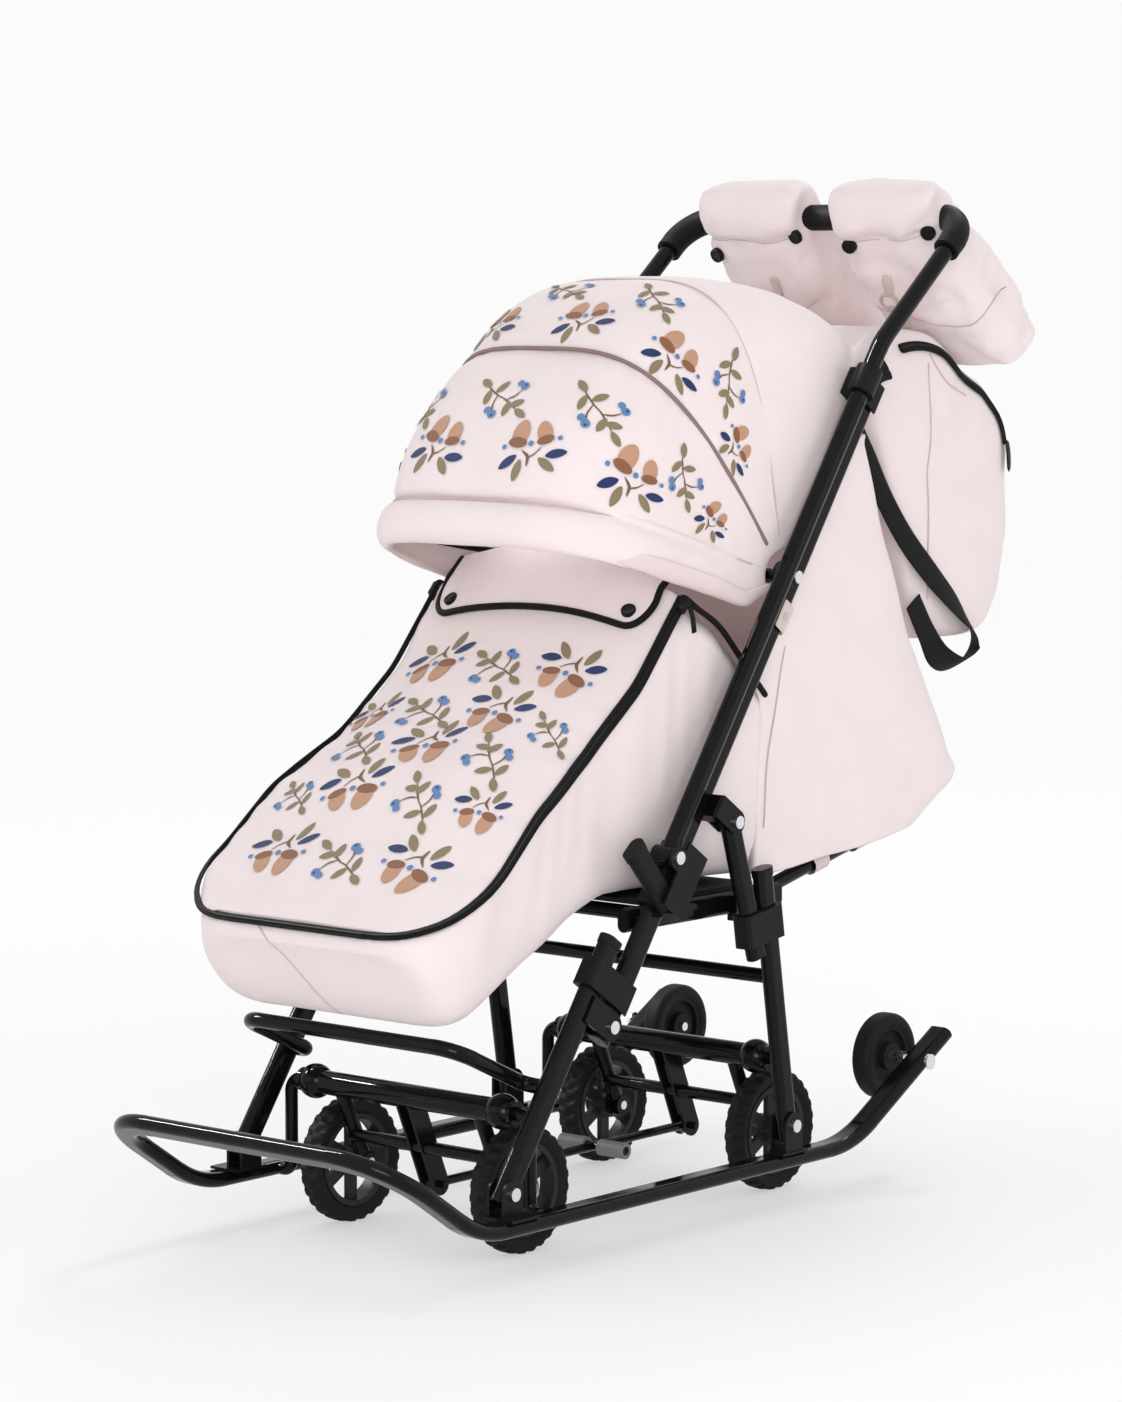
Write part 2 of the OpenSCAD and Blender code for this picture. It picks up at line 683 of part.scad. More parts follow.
module rear_cross_tube() {
    p = along(foot_rear, rear_lower_lean, hook_low - rear_bar_drop);
    color("#161618") stand() rod(p, tube_wide / 2 - rear_leg_x, rear_leg_x - tube_wide / 2, bow_d);
}
// Seat hooks: a collar round each rear leg with a ledge under the seat rail
hook_high = 36;
hook_front = -46;
ledge_half = 18;
ledge_high = 8;
module seat_hooks() {
    half_x = tube_wide / 2 + fit + lock_wall;
    rear_y = rear_deep / 2 + fit + lock_wall;
    ledge_y = along(foot_rear, rear_lower_lean, hook_low)[0];
    ledge_top = seat_z - rail_deep / 2 - gap;
    color("#1f1f21") stand() pair() {
        difference() {
            at(foot_rear, rear_leg_x) lean(rear_lower_lean) translate([0, 0, hook_low])
                linear_extrude(hook_high) round_rect(-half_x, hook_front, half_x, rear_y, lock_r);
            at(foot_rear, rear_leg_x) lean(rear_lower_lean) linear_extrude(rear_lower_len)
                oval(rear_deep + 2 * fit, tube_wide + 2 * fit);
            at(link_low, rear_leg_x) lean(slope(link_low, rear_top)) translate([0, 0, -hook_high])
                linear_extrude(span(link_low, rear_top)) oval(rear_deep + 2 * fit, tube_wide + 2 * fit);
        }
        translate([rail_x - rail_wide / 2, ledge_y - ledge_half, ledge_top - ledge_high])
            cube([rear_leg_x - half_x - rail_x + rail_wide / 2 + lock_wall / 2, 2 * ledge_half, ledge_high]);
    }
}

// Handle: two bent halves that meet inside the grip, a padded grip and a muff for each hand
handle_lean = 40;
handle_bend_r = 80;
handle_corner_r = 45;
bar_half = handle_x - handle_corner_r;
module handle_tube() {
    color("#161618") stand() difference() {
        union() {
            at(handle_pivot, handle_x) lean(frame_lean)
                bent([[handle_run, frame_lean - handle_lean, handle_bend_r, RIGHT_ANGLE],
                    [handle_top, RIGHT_ANGLE, handle_corner_r, HALF_TURN], [bar_half, 0, 0, 0]])
                circle(d = handle_d);
            rod(handle_pivot, handle_x - eye_half, handle_x + eye_half, 2 * ear_r);
        }
        rod(handle_pivot, 0, track, bolt_d + 2 * fit);
    }
}
module handle_tube_left() { left() handle_tube(); }
module handle_tube_right() { right() handle_tube(); }

bend_turn = frame_lean - handle_lean;
bend_start = along(handle_pivot, frame_lean, handle_run);
bend_end = along(bend_start, (frame_lean + handle_lean) / 2, 2 * handle_bend_r * sin(bend_turn / 2));
grip_start = along(bend_end, handle_lean, handle_top);
bar = along(grip_start, handle_lean, handle_corner_r);
grip_tail = 14;
module handle_grip() {
    color("#1d1d1f") stand() pair() at(along(grip_start, handle_lean, -grip_tail), handle_x) lean(handle_lean)
        bent([[grip_tail, RIGHT_ANGLE, handle_corner_r, HALF_TURN], [bar_half, 0, 0, 0]]) difference() {
            circle(d = grip_d);
            circle(d = handle_d + 2 * gap);
        }
}
// Muffs: padded sleeves that wrap the bar and open backwards and down
muff_lean = -45;
muff_len = 205;
muff_front_r = 42;
muff_end_half = 58;
muff_in = 24;
muff_wide = 145;
muff_pad = 9;
muff_slack = 3.9;
muff_steps = 10;
muff_rear = bar[0] + muff_len * cos(muff_lean) - muff_end_half * sin(muff_lean);
function muff_arc(r) = [for (i = [0 : muff_steps]) let (a = RIGHT_ANGLE + i * HALF_TURN / muff_steps)
    [r * cos(a), r * sin(a)]];
module muff() {
    front_in = grip_d / 2 + muff_slack;
    inner = muff_arc(front_in);
    color("#efdfdf") stand() sheet(muff_in, muff_in + muff_wide) translate(bar) rotate(muff_lean)
        polygon(concat([[muff_len, muff_end_half]], muff_arc(muff_front_r), [[muff_len, -muff_end_half]],
            [[muff_len, muff_pad - muff_end_half]], [for (i = [muff_steps : -1 : 0]) inner[i]],
            [[muff_len, muff_end_half - muff_pad]]));
}
module muff_left() { left() muff(); }
module muff_right() { right() muff(); }

// Handle locks: a collar on the handle tube whose cheeks reach over the top of the upper tube
handle_lock_low = 770;
handle_lock_high = 32;
handle_lock_r = 15;
module handle_lock() {
    slot_x = upper_x - handle_x;
    half_x = tube_wide / 2 + gap;
    color("#1f1f21") stand() at(handle_pivot, handle_x) lean(frame_lean)
        translate([0, 0, handle_lock_low - pivot_run]) linear_extrude(handle_lock_high) difference() {
            union() {
                circle(handle_lock_r);
                round_rect(slot_x - half_x - lock_wall, -lock_r, slot_x + half_x + lock_wall,
                    handle_off + tube_deep / 2 - fit, lock_wall);
            }
            circle(d = handle_d + 2 * fit);
            translate([slot_x - half_x, handle_off - tube_deep / 2 - gap])
                square([2 * half_x, tube_deep + gap + overrun]);
        }
}
module handle_lock_left() { left() handle_lock(); }
module handle_lock_right() { right() handle_lock(); }

// Seat: rails on the seat pins, cross tubes, a board and a cushion
rail_deep = 26;
back_set = 16;
back_pivot = [rail_rear - back_set, seat_z];
back_tube_d = 16;
back_lip = 1;
tube_rim = 2;
back_x = rail_x - rail_wide / 2 - gap - back_lip - back_tube_d / 2;
module seat_rails() {
    color("#161618") stand() pair() difference() {
        union() {
            translate([rail_x, rail_front, seat_z]) lean(0) linear_extrude(rail_rear - rail_front)
                oval(rail_deep, rail_wide);
            rod(back_pivot, back_x - back_tube_d / 2 - back_lip, rail_x, bolt_d);
        }
        rod(seat_pivot, 0, track, seat_pin_d + 2 * fit);
    }
}
cross_set = 50;
cross_rear_set = 48;
cross_front = [rail_front + cross_set, seat_z];
cross_rear = [rail_rear - cross_rear_set, seat_z];
module seat_cross_tubes() {
    color("#161618") stand() for (p = [cross_front, cross_rear])
        rod(p, rail_wide / 2 - rail_x, rail_x - rail_wide / 2, back_tube_d);
}
board = 5;
board_z = seat_z + rail_deep / 2;
module seat_board() {
    color("#2b2b2d") stand() translate([-rail_x, rail_front + tube_deep, board_z])
        cube([2 * rail_x, rail_rear - rail_front - 2 * tube_deep - tube_wide, board]);
}

// The leg tub: a padded trough from the seat to the closed foot end, wider at its rim
tub_rows = 23;
tub_cols = 22;
tub_rear_set = 28;
tub_rear = rail_rear - tub_rear_set;
tub_front = -415;
tub_seat = board_z + board + gap;
tub_tip = [tub_front, 345];
tub_toe = [-372, 262];
tub_heel = [-335, 249];
tub_shin = [-150, 343];
tub_lap = [-100, tub_seat];
zip_tip = [tub_front, 352];
zip_low = [-380, 370];
zip_shin = [-318, 412];
zip_knee = [-256, 466];
zip_lap = [-165, 518];
zip_hip = [-80, 584];
zip_top = [-3, 675];
side_top = [58, 640];
side_rear = [tub_rear, 560];
function tub_floor(y) = lookup(y, [tub_tip, tub_toe, tub_heel, tub_shin, tub_lap, [tub_rear, tub_seat]]);
function tub_rim(y) =
    lookup(y, [zip_tip, zip_low, zip_shin, zip_knee, zip_lap, zip_hip, zip_top, side_top, side_rear]);
tub_tuck = 1.5;
tub_seat_half = seat_wide / 2 - tub_tuck;
tub_tip_tuck = 55;
tub_corner_tuck = 1;
tub_flare = 22;
tub_high_flare = 14;
tub_floor_tuck = 13;
tub_floor_half = tub_seat_half - tub_floor_tuck;
tub_corner_y = -385;
tub_wide_low_y = -330;
tub_wide_high_y = -230;
tub_narrow_y = -164;
tub_corner = [tub_corner_y, tub_seat_half - tub_corner_tuck];
tub_wide_low = [tub_wide_low_y, tub_seat_half + tub_flare];
tub_wide_high = [tub_wide_high_y, tub_seat_half + tub_high_flare];
tub_narrow = [tub_narrow_y, tub_seat_half];
function rim_half(y) =
    lookup(y, [[tub_front, tub_seat_half - tub_tip_tuck], tub_corner, tub_wide_low, tub_wide_high,
        tub_narrow]);
function floor_half(y) = min(tub_floor_half, rim_half(y));
tub_box_share = 0.22;
function tub_point(y, a, wall) =
    let (low = tub_floor(y) + wall, high = max(tub_rim(y), low + wall / 2),
        drop_share = pow(abs(sin(a)), tub_box_share),
        wide_share = pow(abs(cos(a)), tub_box_share) * sign(cos(a)),
        half = floor_half(y) + (rim_half(y) - floor_half(y)) * (1 - drop_share) - wall)
    [half * wide_share, y + wall * (tub_rear - y) / (tub_rear - tub_front), high - (high - low) * drop_share];
function tub_y(i) = tub_rear + (tub_front - tub_rear) * i / tub_rows;
function tub_grid(wall) = [for (i = [0 : tub_rows])
    [for (j = [0 : tub_cols]) tub_point(tub_y(i), j * HALF_TURN / tub_cols, wall)]];
module leg_tub() { color("#ecdcdc") stand() quilt(tub_grid(0), tub_grid(cloth)); }

// The leg cover: a crowned sheet zipped to the tub's rim, row on row, and its turned-down flap
cover_start = 6;
cover_rows = tub_rows - cover_start;
cover_cols = 16;
cover_crown = 26;
cover_rear = tub_y(cover_start);
cover_front = tub_front;
function cover_flat_share(y) = pow((cover_rear - y) / (cover_rear - cover_front), 6);
function cover_point(y, s, lift) = let (half = rim_half(y))
    [half * s, y, tub_rim(y) + gap + lift + cover_crown * (1 - cover_flat_share(y)) * (1 - s * s)];
function cover_grid(y0, y1, rows, lift) = [for (i = [0 : rows])
    [for (j = [0 : cover_cols]) cover_point(y0 + (y1 - y0) * i / rows, 2 * j / cover_cols - 1, lift)]];
module leg_cover() {
    color("#f0e2e2") stand() quilt(cover_grid(cover_rear, cover_front, cover_rows, cloth),
        cover_grid(cover_rear, cover_front, cover_rows, 0));
}
flap_rows = 2;
flap_front = cover_rear + (cover_front - cover_rear) * flap_rows / cover_rows;
module cover_flap() {
    color("#f0e2e2") stand() quilt(cover_grid(cover_rear, flap_front, flap_rows, 2 * cloth + gap),
        cover_grid(cover_rear, flap_front, flap_rows, cloth + gap));
}

// Cushions: crowned, with drawn-in sides and sewn channels
pad_rows = 14;
pad_cols = 14;
pad_edge_share = 0.35;
channel_share = 0.16;
function crown_share(s) = pow(1 - pow(abs(s), 4), pad_edge_share);
function channel(u, count) = 1 - channel_share * pow(abs(cos(u * count * HALF_TURN)), 8);
function pad_high(i, j, thick, count) =
    thick * crown_share(2 * i / pad_rows - 1) * crown_share(2 * j / pad_cols - 1)
        * channel(i / pad_rows, count);
seat_pad_front = -80;
seat_pad_rear = 130;
seat_pad_half = 112;
seat_pad_thick = 34;
seat_channels = 3;
pad_hem = 3;
pad_sag = 6;
module seat_pad() {
    low = tub_seat + cloth + gap;
    function grid(lift) = [for (i = [0 : pad_rows]) [for (j = [0 : pad_cols])
        [(2 * j / pad_cols - 1) * seat_pad_half,
            seat_pad_rear + (seat_pad_front - seat_pad_rear) * i / pad_rows,
            low + pad_sag * pow(2 * j / pad_cols - 1, 4)
                + lift * (pad_hem + pad_high(i, j, seat_pad_thick - pad_hem, seat_channels))]]];
    color("#e9dada") stand() quilt(grid(1), grid(0));
}

// Backrest: a bent tube frame hinged on the seat rails, with a channelled cushion on it
back_corner_r = 50;
module backrest_frame() {
    color("#161618") stand() difference() {
        pair() {
            at(back_pivot, back_x) lean(back_lean)
                bent([[back_len - back_corner_r, RIGHT_ANGLE, back_corner_r, HALF_TURN],
                    [back_x - back_corner_r, 0, 0, 0]]) circle(d = back_tube_d);
            rod(back_pivot, back_x - back_tube_d / 2 - back_lip, back_x + back_tube_d / 2 + back_lip,
                back_tube_d + 2 * tube_rim);
        }
        rod(back_pivot, -track, track, bolt_d + 2 * fit);
    }
}
back_pad_start = 34;
back_pad_over = 18;
back_pad_end = back_len + back_pad_over;
back_pad_half = 130;
back_pad_thick = 26;
back_channels = 4;
module backrest_pad() {
    low = back_tube_d / 2 + gap;
    function grid(lift) = [for (i = [0 : pad_rows]) [for (j = [0 : pad_cols])
        let (run = back_pad_end + (back_pad_start - back_pad_end) * i / pad_rows,
            rise = lift * (pad_hem + pad_high(i, j, back_pad_thick - pad_hem, back_channels)),
            p = across(along(back_pivot, back_lean, run), back_lean, -low - rise))
        [(2 * j / pad_cols - 1) * back_pad_half, p[0], p[1]]]];
    color("#e9dada") stand() quilt(grid(1), grid(0));
}

// Canopy: bows that turn on the hinge pins, and the padded cloth over them
canopy_rows = 16;
canopy_cols = 24;
canopy_root = 28;
canopy_box_share = 0.46;
rim_lean = 170;
mid_lean = 129;
top_lean = 100;
rear_lean = 62;
canopy_rear_reach = 245;
canopy_mid_reach = 320;
bow_bend_r = 90;
function canopy_r(deg) = lookup(deg, [[rear_lean, canopy_rear_reach], [top_lean, canopy_high],
    [mid_lean, canopy_mid_reach], [rim_lean, canopy_reach]]);
function canopy_point(deg, a, wall) =
    let (rise_share = pow(abs(sin(a)), canopy_box_share),
        wide_share = pow(abs(cos(a)), canopy_box_share) * sign(cos(a)),
        p = along(canopy_pivot, deg, canopy_root + (canopy_r(deg) - wall - canopy_root) * rise_share))
    [(canopy_half - wall) * wide_share, p[0], p[1]];
function canopy_grid(wall) = [for (i = [0 : canopy_rows]) [for (j = [0 : canopy_cols])
    canopy_point(rim_lean + (rear_lean - rim_lean) * i / canopy_rows, j * HALF_TURN / canopy_cols, wall)]];
module canopy_fabric() { color("#f0e2e2") stand() quilt(canopy_grid(0), canopy_grid(cloth)); }
module canopy_bow(deg, x, reach) {
    stand() difference() {
        pair() {
            at(canopy_pivot, x) lean(deg) bent([[reach - bow_bend_r, RIGHT_ANGLE, bow_bend_r, HALF_TURN],
                [x - bow_bend_r, 0, 0, 0]]) circle(d = bow_wire_d);
            rod(canopy_pivot, x - bow_wire_d / 2, x + bow_wire_d / 2, 2 * bow_wire_d);
        }
        rod(canopy_pivot, -track, track, bolt_d + 2 * fit);
    }
}
bow_slack = 2;
bow_inset = cloth + bow_wire_d / 2 + bow_slack;
module canopy_front_bow() { color("#1f1f21") canopy_bow(rim_lean, front_bow_x, canopy_reach - bow_inset); }
module canopy_mid_bow() { color("#1f1f21") canopy_bow(mid_lean, mid_bow_x, canopy_mid_reach - bow_inset); }

// The back shell: side panels behind the upper tubes and a back panel down to the backrest's end
shell_rows = 14;
shell_cols = 22;
shell_tuck = 4;
shell_half = canopy_half - shell_tuck;
shell_low = 372;
shell_high = 840;
shell_foot = [525, 430];
shell_brow = [318, 815];
shell_under = [470, shell_low];
shell_front_gap = 26;
shell_box_share = 0.36;
function shell_back(z) = lookup(z, [[shell_under[1], shell_under[0]], [shell_foot[1], shell_foot[0]],
    [shell_brow[1], shell_brow[0]]]);
function shell_front(z) =
    max(knee[0] + (z - knee[1]) / tan(frame_lean) + shell_front_gap, tub_rear + overrun);
function shell_point(z, a, wall) =
    let (deep_share = pow(abs(sin(a)), shell_box_share),
        wide_share = pow(abs(cos(a)), shell_box_share) * sign(cos(a)),
        y0 = shell_front(z), y1 = max(shell_back(z), y0 + 2 * wall + shell_front_gap) - wall)
    [(shell_half - wall) * wide_share, y0 + (y1 - y0) * deep_share, z];
function shell_grid(wall) = [for (i = [0 : shell_rows]) [for (j = [0 : shell_cols])
    shell_point(shell_high + (shell_low - shell_high) * i / shell_rows, j * HALF_TURN / shell_cols, wall)]];
module back_shell() { color("#ecdcdc") stand() quilt(shell_grid(0), shell_grid(cloth)); }

// The bag behind the back panel, and the straps that hang it from the upper tubes
bag_r = 34;
bag_top = 905;
bag_top_len = 190;
bag_top_drop = 55;
bag_base = 95;
bag_taper = 60;
bag_top_tuck = 55;
bag_top_rear = [bag_rear - bag_top_tuck, bag_top - bag_top_drop];
bag_top_front = [bag_top_rear[0] - bag_top_len, bag_top];
bag_low_rear = [bag_rear - bag_taper, bag_top_rear[1] - bag_high];
bag_low_front = [bag_low_rear[0] - bag_base, bag_low_rear[1]];
bag_bulge = [bag_rear - bag_r, (bag_top_rear[1] + bag_low_rear[1]) / 2];
module bag() {
    color("#ecdcdc") stand() hull()
        for (p = [bag_top_front, bag_top_rear, bag_bulge, bag_low_rear, bag_low_front])
            at(p) rotate([0, RIGHT_ANGLE, 0]) cylinder(r = bag_r, h = bag_wide, center = true, $fn = 32);
}
strap_wide = 30;
strap_thick = 2;
hang_run = 728;
hang_point = across(along(knee, frame_lean, hang_run), frame_lean, -strap_thick);
strap_loop_shares = [[-0.8, 0.78], [-0.57, 0.36], [-0.26, 0.06], [-0.1, -0.11], [-0.12, -0.24],
    [-0.28, -0.28], [-0.43, -0.18], [-0.54, -0.03]];
strap_loop = [for (s = strap_loop_shares) bag_low_rear + bag_high * s];
module bag_straps() {
    side_x = bag_wide / 2 + gap;
    color("#1b1b1c") stand() {
        pair() {
            sheet(side_x, side_x + strap_thick) polygon(ribbon([hang_point, bag_top_front], strap_wide));
            sheet(side_x, upper_inner - gap) translate(hang_point) rotate(slope(hang_point, bag_top_front))
                square([strap_thick, strap_wide], center = true);
        }
        sheet(side_x, side_x + strap_thick) polygon(ribbon(strap_loop, strap_wide));
    }
}

// The middle of the part's length, so that the origin lies under the middle
mid_y = (front_end + muff_rear) / 2;

runner_left();
runner_right();
foot_brackets();
front_pivot_rods();
rear_pivot_rods();
base_bolts();
transit_wheel_left();
transit_wheel_right();
front_wheel_frame();
rear_wheel_frame();
front_axles();
rear_axles();
rim_front_left();
rim_front_right();
rim_rear_left();
rim_rear_right();
tyre_front_left();
tyre_front_right();
tyre_rear_left();
tyre_rear_right();
link_bar();
pedal_grips();
front_leg_left();
front_leg_right();
front_leg_caps();
front_bow();
knee_pins();
knee_lock_left();
knee_lock_right();
upper_tube_left();
upper_tube_right();
handle_hinges();
canopy_hinges();
frame_bolts();
rear_leg_left();
rear_leg_right();
rear_cross_tube();
seat_hooks();
handle_tube_left();
handle_tube_right();
handle_grip();
muff_left();
muff_right();
handle_lock_left();
handle_lock_right();
seat_rails();
seat_cross_tubes();
seat_board();
seat_pad();
leg_tub();
leg_cover();
cover_flap();
backrest_frame();
backrest_pad();
canopy_front_bow();
canopy_mid_bow();
canopy_fabric();
back_shell();
bag();
bag_straps();
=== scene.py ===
# %% [markdown]
# # A winter sled stroller
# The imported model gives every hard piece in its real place. This script dresses it: camera and light first,
# then the materials, then each soft piece as sewn cloth, and last the small trim.

# %% Load the frame
import json
import math

import bpy
import numpy as np
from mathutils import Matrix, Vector, noise
from mathutils.bvhtree import BVHTree


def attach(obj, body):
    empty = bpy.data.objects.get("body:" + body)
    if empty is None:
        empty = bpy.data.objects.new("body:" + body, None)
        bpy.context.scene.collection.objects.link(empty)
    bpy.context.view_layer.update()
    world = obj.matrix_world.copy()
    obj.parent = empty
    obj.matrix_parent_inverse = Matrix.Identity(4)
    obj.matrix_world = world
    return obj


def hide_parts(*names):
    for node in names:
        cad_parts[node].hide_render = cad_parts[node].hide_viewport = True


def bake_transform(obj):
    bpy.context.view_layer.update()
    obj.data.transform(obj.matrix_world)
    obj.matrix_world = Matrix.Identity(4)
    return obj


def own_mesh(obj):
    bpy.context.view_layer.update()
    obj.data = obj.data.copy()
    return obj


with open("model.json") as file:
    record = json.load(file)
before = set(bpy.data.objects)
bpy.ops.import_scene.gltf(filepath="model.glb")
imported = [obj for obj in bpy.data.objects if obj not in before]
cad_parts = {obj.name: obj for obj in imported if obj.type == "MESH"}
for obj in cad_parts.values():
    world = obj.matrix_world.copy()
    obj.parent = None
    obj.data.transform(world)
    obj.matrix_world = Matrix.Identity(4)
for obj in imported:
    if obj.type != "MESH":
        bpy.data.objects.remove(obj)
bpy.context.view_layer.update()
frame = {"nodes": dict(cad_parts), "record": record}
nodes = frame["nodes"]
behaviour = frame["record"]["behaviour"]
BODY_OF = {node: body for body, names in behaviour["bodies"].items() for node in names}

# %% [markdown]
# ## Camera
# The view was found from the parallel lines of the runners and legs: a long lens, a little above the seat,
# well to the left of straight ahead. Side-view sizes below are in millimetres from the maker's own zero.
# MID is the distance from that zero to the part's origin, found from the hinge of the backrest, which lies
# at 152.

# %% Camera
hinge_of = {joint["name"]: joint for joint in behaviour["joints"]}
MID = 152 - 1000 * hinge_of["recline"]["pos_m"][1]
AZ, PITCH, DIST, HIGH, FOCAL = math.radians(40.54), math.radians(5.66), 4.774, 1.029, 4418 / 1402 * 36
camera = bpy.data.objects.new("camera", bpy.data.cameras.new("camera"))
bpy.context.scene.collection.objects.link(camera)
camera.location = (math.sin(AZ) * DIST, -math.cos(AZ) * DIST - MID / 1000, HIGH)
aim = Vector((-math.sin(AZ) * math.cos(PITCH), math.cos(AZ) * math.cos(PITCH), -math.sin(PITCH)))
camera.rotation_euler = aim.to_track_quat("-Z", "Y").to_euler()
camera.data.sensor_width = 36
camera.data.sensor_fit = "AUTO"
camera.data.lens = FOCAL
bpy.context.scene.camera = camera
bpy.context.scene.view_settings.view_transform = "Standard"
print("lens", round(FOCAL, 1), "mm, middle at", round(MID, 2))

# %% [markdown]
# ## Shader sums
# Each material is a small sum of noises. Val wraps a shader socket so that sums read as sums, and Look
# makes the nodes. All patterns use object coordinates, which are the part's own metres, so that a weave has
# its real size on every piece.

# %% Shader sums
class Val:
    """A shader socket that takes part in arithmetic."""

    def __init__(self, look, socket):
        self.look, self.socket = look, socket

    def _do(self, op, a, b=None):
        return self.look.node("Math", {"operation": op}, {0: a} if b is None else {0: a, 1: b})

    def __add__(self, b):
        return self._do("ADD", self, b)

    def __radd__(self, b):
        return self._do("ADD", b, self)

    def __sub__(self, b):
        return self._do("SUBTRACT", self, b)

    def __rsub__(self, b):
        return self._do("SUBTRACT", b, self)

    def __mul__(self, b):
        return self._do("MULTIPLY", self, b)

    def __rmul__(self, b):
        return self._do("MULTIPLY", b, self)

    def __pow__(self, b):
        return self._do("POWER", self, b)

    def sin(self):
        return self._do("SINE", self)

    def least(self, b):
        return self._do("MINIMUM", self, b)

    def most(self, b):
        return self._do("MAXIMUM", self, b)


class Look:
    """One material and the nodes that are added to it."""

    def __init__(self, name):
        self.mat = bpy.data.materials.new(name)
        self.mat.use_nodes = True
        self.tree = self.mat.node_tree
        self.shader = self.tree.nodes["Principled BSDF"]

    def node(self, kind, settings=None, sockets=None, out=0):
        n = self.tree.nodes.new("ShaderNode" + kind)
        for key, value in (settings or {}).items():
            setattr(n, key, value)
        for key, value in (sockets or {}).items():
            if isinstance(value, Val):
                self.tree.links.new(value.socket, n.inputs[key])
            else:
                n.inputs[key].default_value = value
        return Val(self, n.outputs[out])

    def set(self, **sockets):
        for key, value in sockets.items():
            socket = self.shader.inputs[key.replace("_", " ")]
            if isinstance(value, Val):
                self.tree.links.new(value.socket, socket)
            else:
                socket.default_value = value
        return self

    def place(self):
        return self.node("TexCoord", out=3)

    def noise(self, size, detail=3.0, rough=0.5):
        """Noise with lumps of about that size in metres, from 0 to 1."""
        return self.node("TexNoise", None, {"Vector": self.place(), "Scale": 1 / size, "Detail": detail,
                                            "Roughness": rough})

    def axes(self):
        split = self.node("SeparateXYZ", None, {0: self.place()})
        return [Val(self, s) for s in split.socket.node.outputs]

    def mix(self, share, a, b):
        return self.node("Mix", {"data_type": "RGBA"}, {0: share, 6: (*a, 1) if isinstance(a, tuple) else a,
                                                       7: (*b, 1) if isinstance(b, tuple) else b}, out=2)

    def bump(self, height, depth, strength=1.0):
        return self.node("Bump", None, {"Height": height, "Distance": depth, "Strength": strength})


def seen_rays(look):
    """1 for rays from the camera and for mirrored or bent ones, else 0."""
    path = look.node("LightPath").socket.node
    names = ("Is Camera Ray", "Is Glossy Ray", "Is Transmission Ray")
    seen, mirrored, bent = (Val(look, path.outputs[name]) for name in names)
    return (seen + mirrored + bent).least(1.0)


def linear(r, g, b):
    """A screen colour, 0 to 255, as the shader wants it."""
    return tuple((c / 255 / 12.92) if c < 11 else ((c / 255 + 0.055) / 1.055) ** 2.4 for c in (r, g, b))


print("linear mid grey", round(linear(128, 128, 128)[0], 3))

# %% [markdown]
# ## Stage and light
# A white sweep of floor and wall. For rays that the camera sees, it is partly its own white, less so near
# the part, so that it stays white with plain light and still shows a soft shadow. The light is an even sky,
# a fill near the camera that reaches under the canopy, a broad lamp at the front, a smaller one behind that
# throws the shadows forwards, and a weak one at the near side for the rear panels. One narrow strip high on
# the left gives only highlights: it draws the thin bright lines along the black tubes. A small lamp under
# the canopy stands for the daylight that comes through its cloth.

# %% Stage
def sweep_stage():
    """A floor that curves up into a wall, far behind the part."""
    line = [(-14.0, 0.0), (7.0, 0.0)]
    line += [(7.0 + 3.0 * math.sin(a), 3.0 - 3.0 * math.cos(a)) for a in np.radians(np.arange(10, 91, 10))]
    line += [(10.0, 14.0)]
    verts = [(x, y, z) for y, z in line for x in (-18.0, 18.0)]
    faces = [(2 * i, 2 * i + 1, 2 * i + 3, 2 * i + 2) for i in range(len(line) - 1)]
    mesh = bpy.data.meshes.new("stage")
    mesh.from_pydata(verts, [], faces)
    mesh.polygons.foreach_set("use_smooth", [True] * len(faces))
    stage = bpy.data.objects.new("stage", mesh)
    bpy.context.scene.collection.objects.link(stage)
    stage.rotation_euler = (0, 0, AZ)
    return stage


def stage_look():
    look = Look("white_sweep")
    dust = look.noise(0.8, 2.0)
    look.set(Base_Color=look.mix(dust, (0.92, 0.92, 0.92), (0.95, 0.95, 0.95)), Roughness=0.9)
    own = look.node("Emission", None, {0: (1, 1, 1, 1), 1: 1.0})
    x, y, z = look.axes()
    far = (((x * x + y * y + z * z) ** 0.5 - 1.0) * 0.3).least(0.4).most(0.0)
    lit = Val(look, look.shader.outputs[0])
    both = look.node("MixShader", None, {0: seen_rays(look) * (far + 0.46), 1: lit, 2: own})
    look.tree.links.new(both.socket, look.tree.nodes["Material Output"].inputs[0])
    return look.mat


stage = sweep_stage()
stage.data.materials.append(stage_look())
print("stage", len(stage.data.polygons), "faces")

# %% Light
def lamp(name, where, at, size, watts, high=None):
    """One soft lamp that points at a place; high makes it a strip that only gives highlights."""
    data = bpy.data.lights.new(name, "AREA")
    data.size, data.energy = size, watts
    if high:
        data.shape, data.size_y = "RECTANGLE", high
    thing = bpy.data.objects.new(name, data)
    thing.visible_diffuse = not high
    thing.location = where
    thing.rotation_euler = (Vector(at) - Vector(where)).to_track_quat("-Z", "Y").to_euler()
    bpy.context.scene.collection.objects.link(thing)


def sky(level):
    """An even white sky: full white where it is seen, less where it only gives light."""
    world = bpy.data.worlds.new("sky")
    bpy.context.scene.world = world
    world.use_nodes = True
    look = Look("sky_nodes")
    look.tree = world.node_tree
    giver = look.node("Background", None, {0: (1, 1, 1, 1), 1: level})
    seen = look.node("Background", None, {0: (1, 1, 1, 1), 1: 1.0})
    both = look.node("MixShader", None, {0: seen_rays(look), 1: giver, 2: seen})
    look.tree.links.new(both.socket, world.node_tree.nodes["World Output"].inputs[0])
    bpy.data.materials.remove(look.mat)


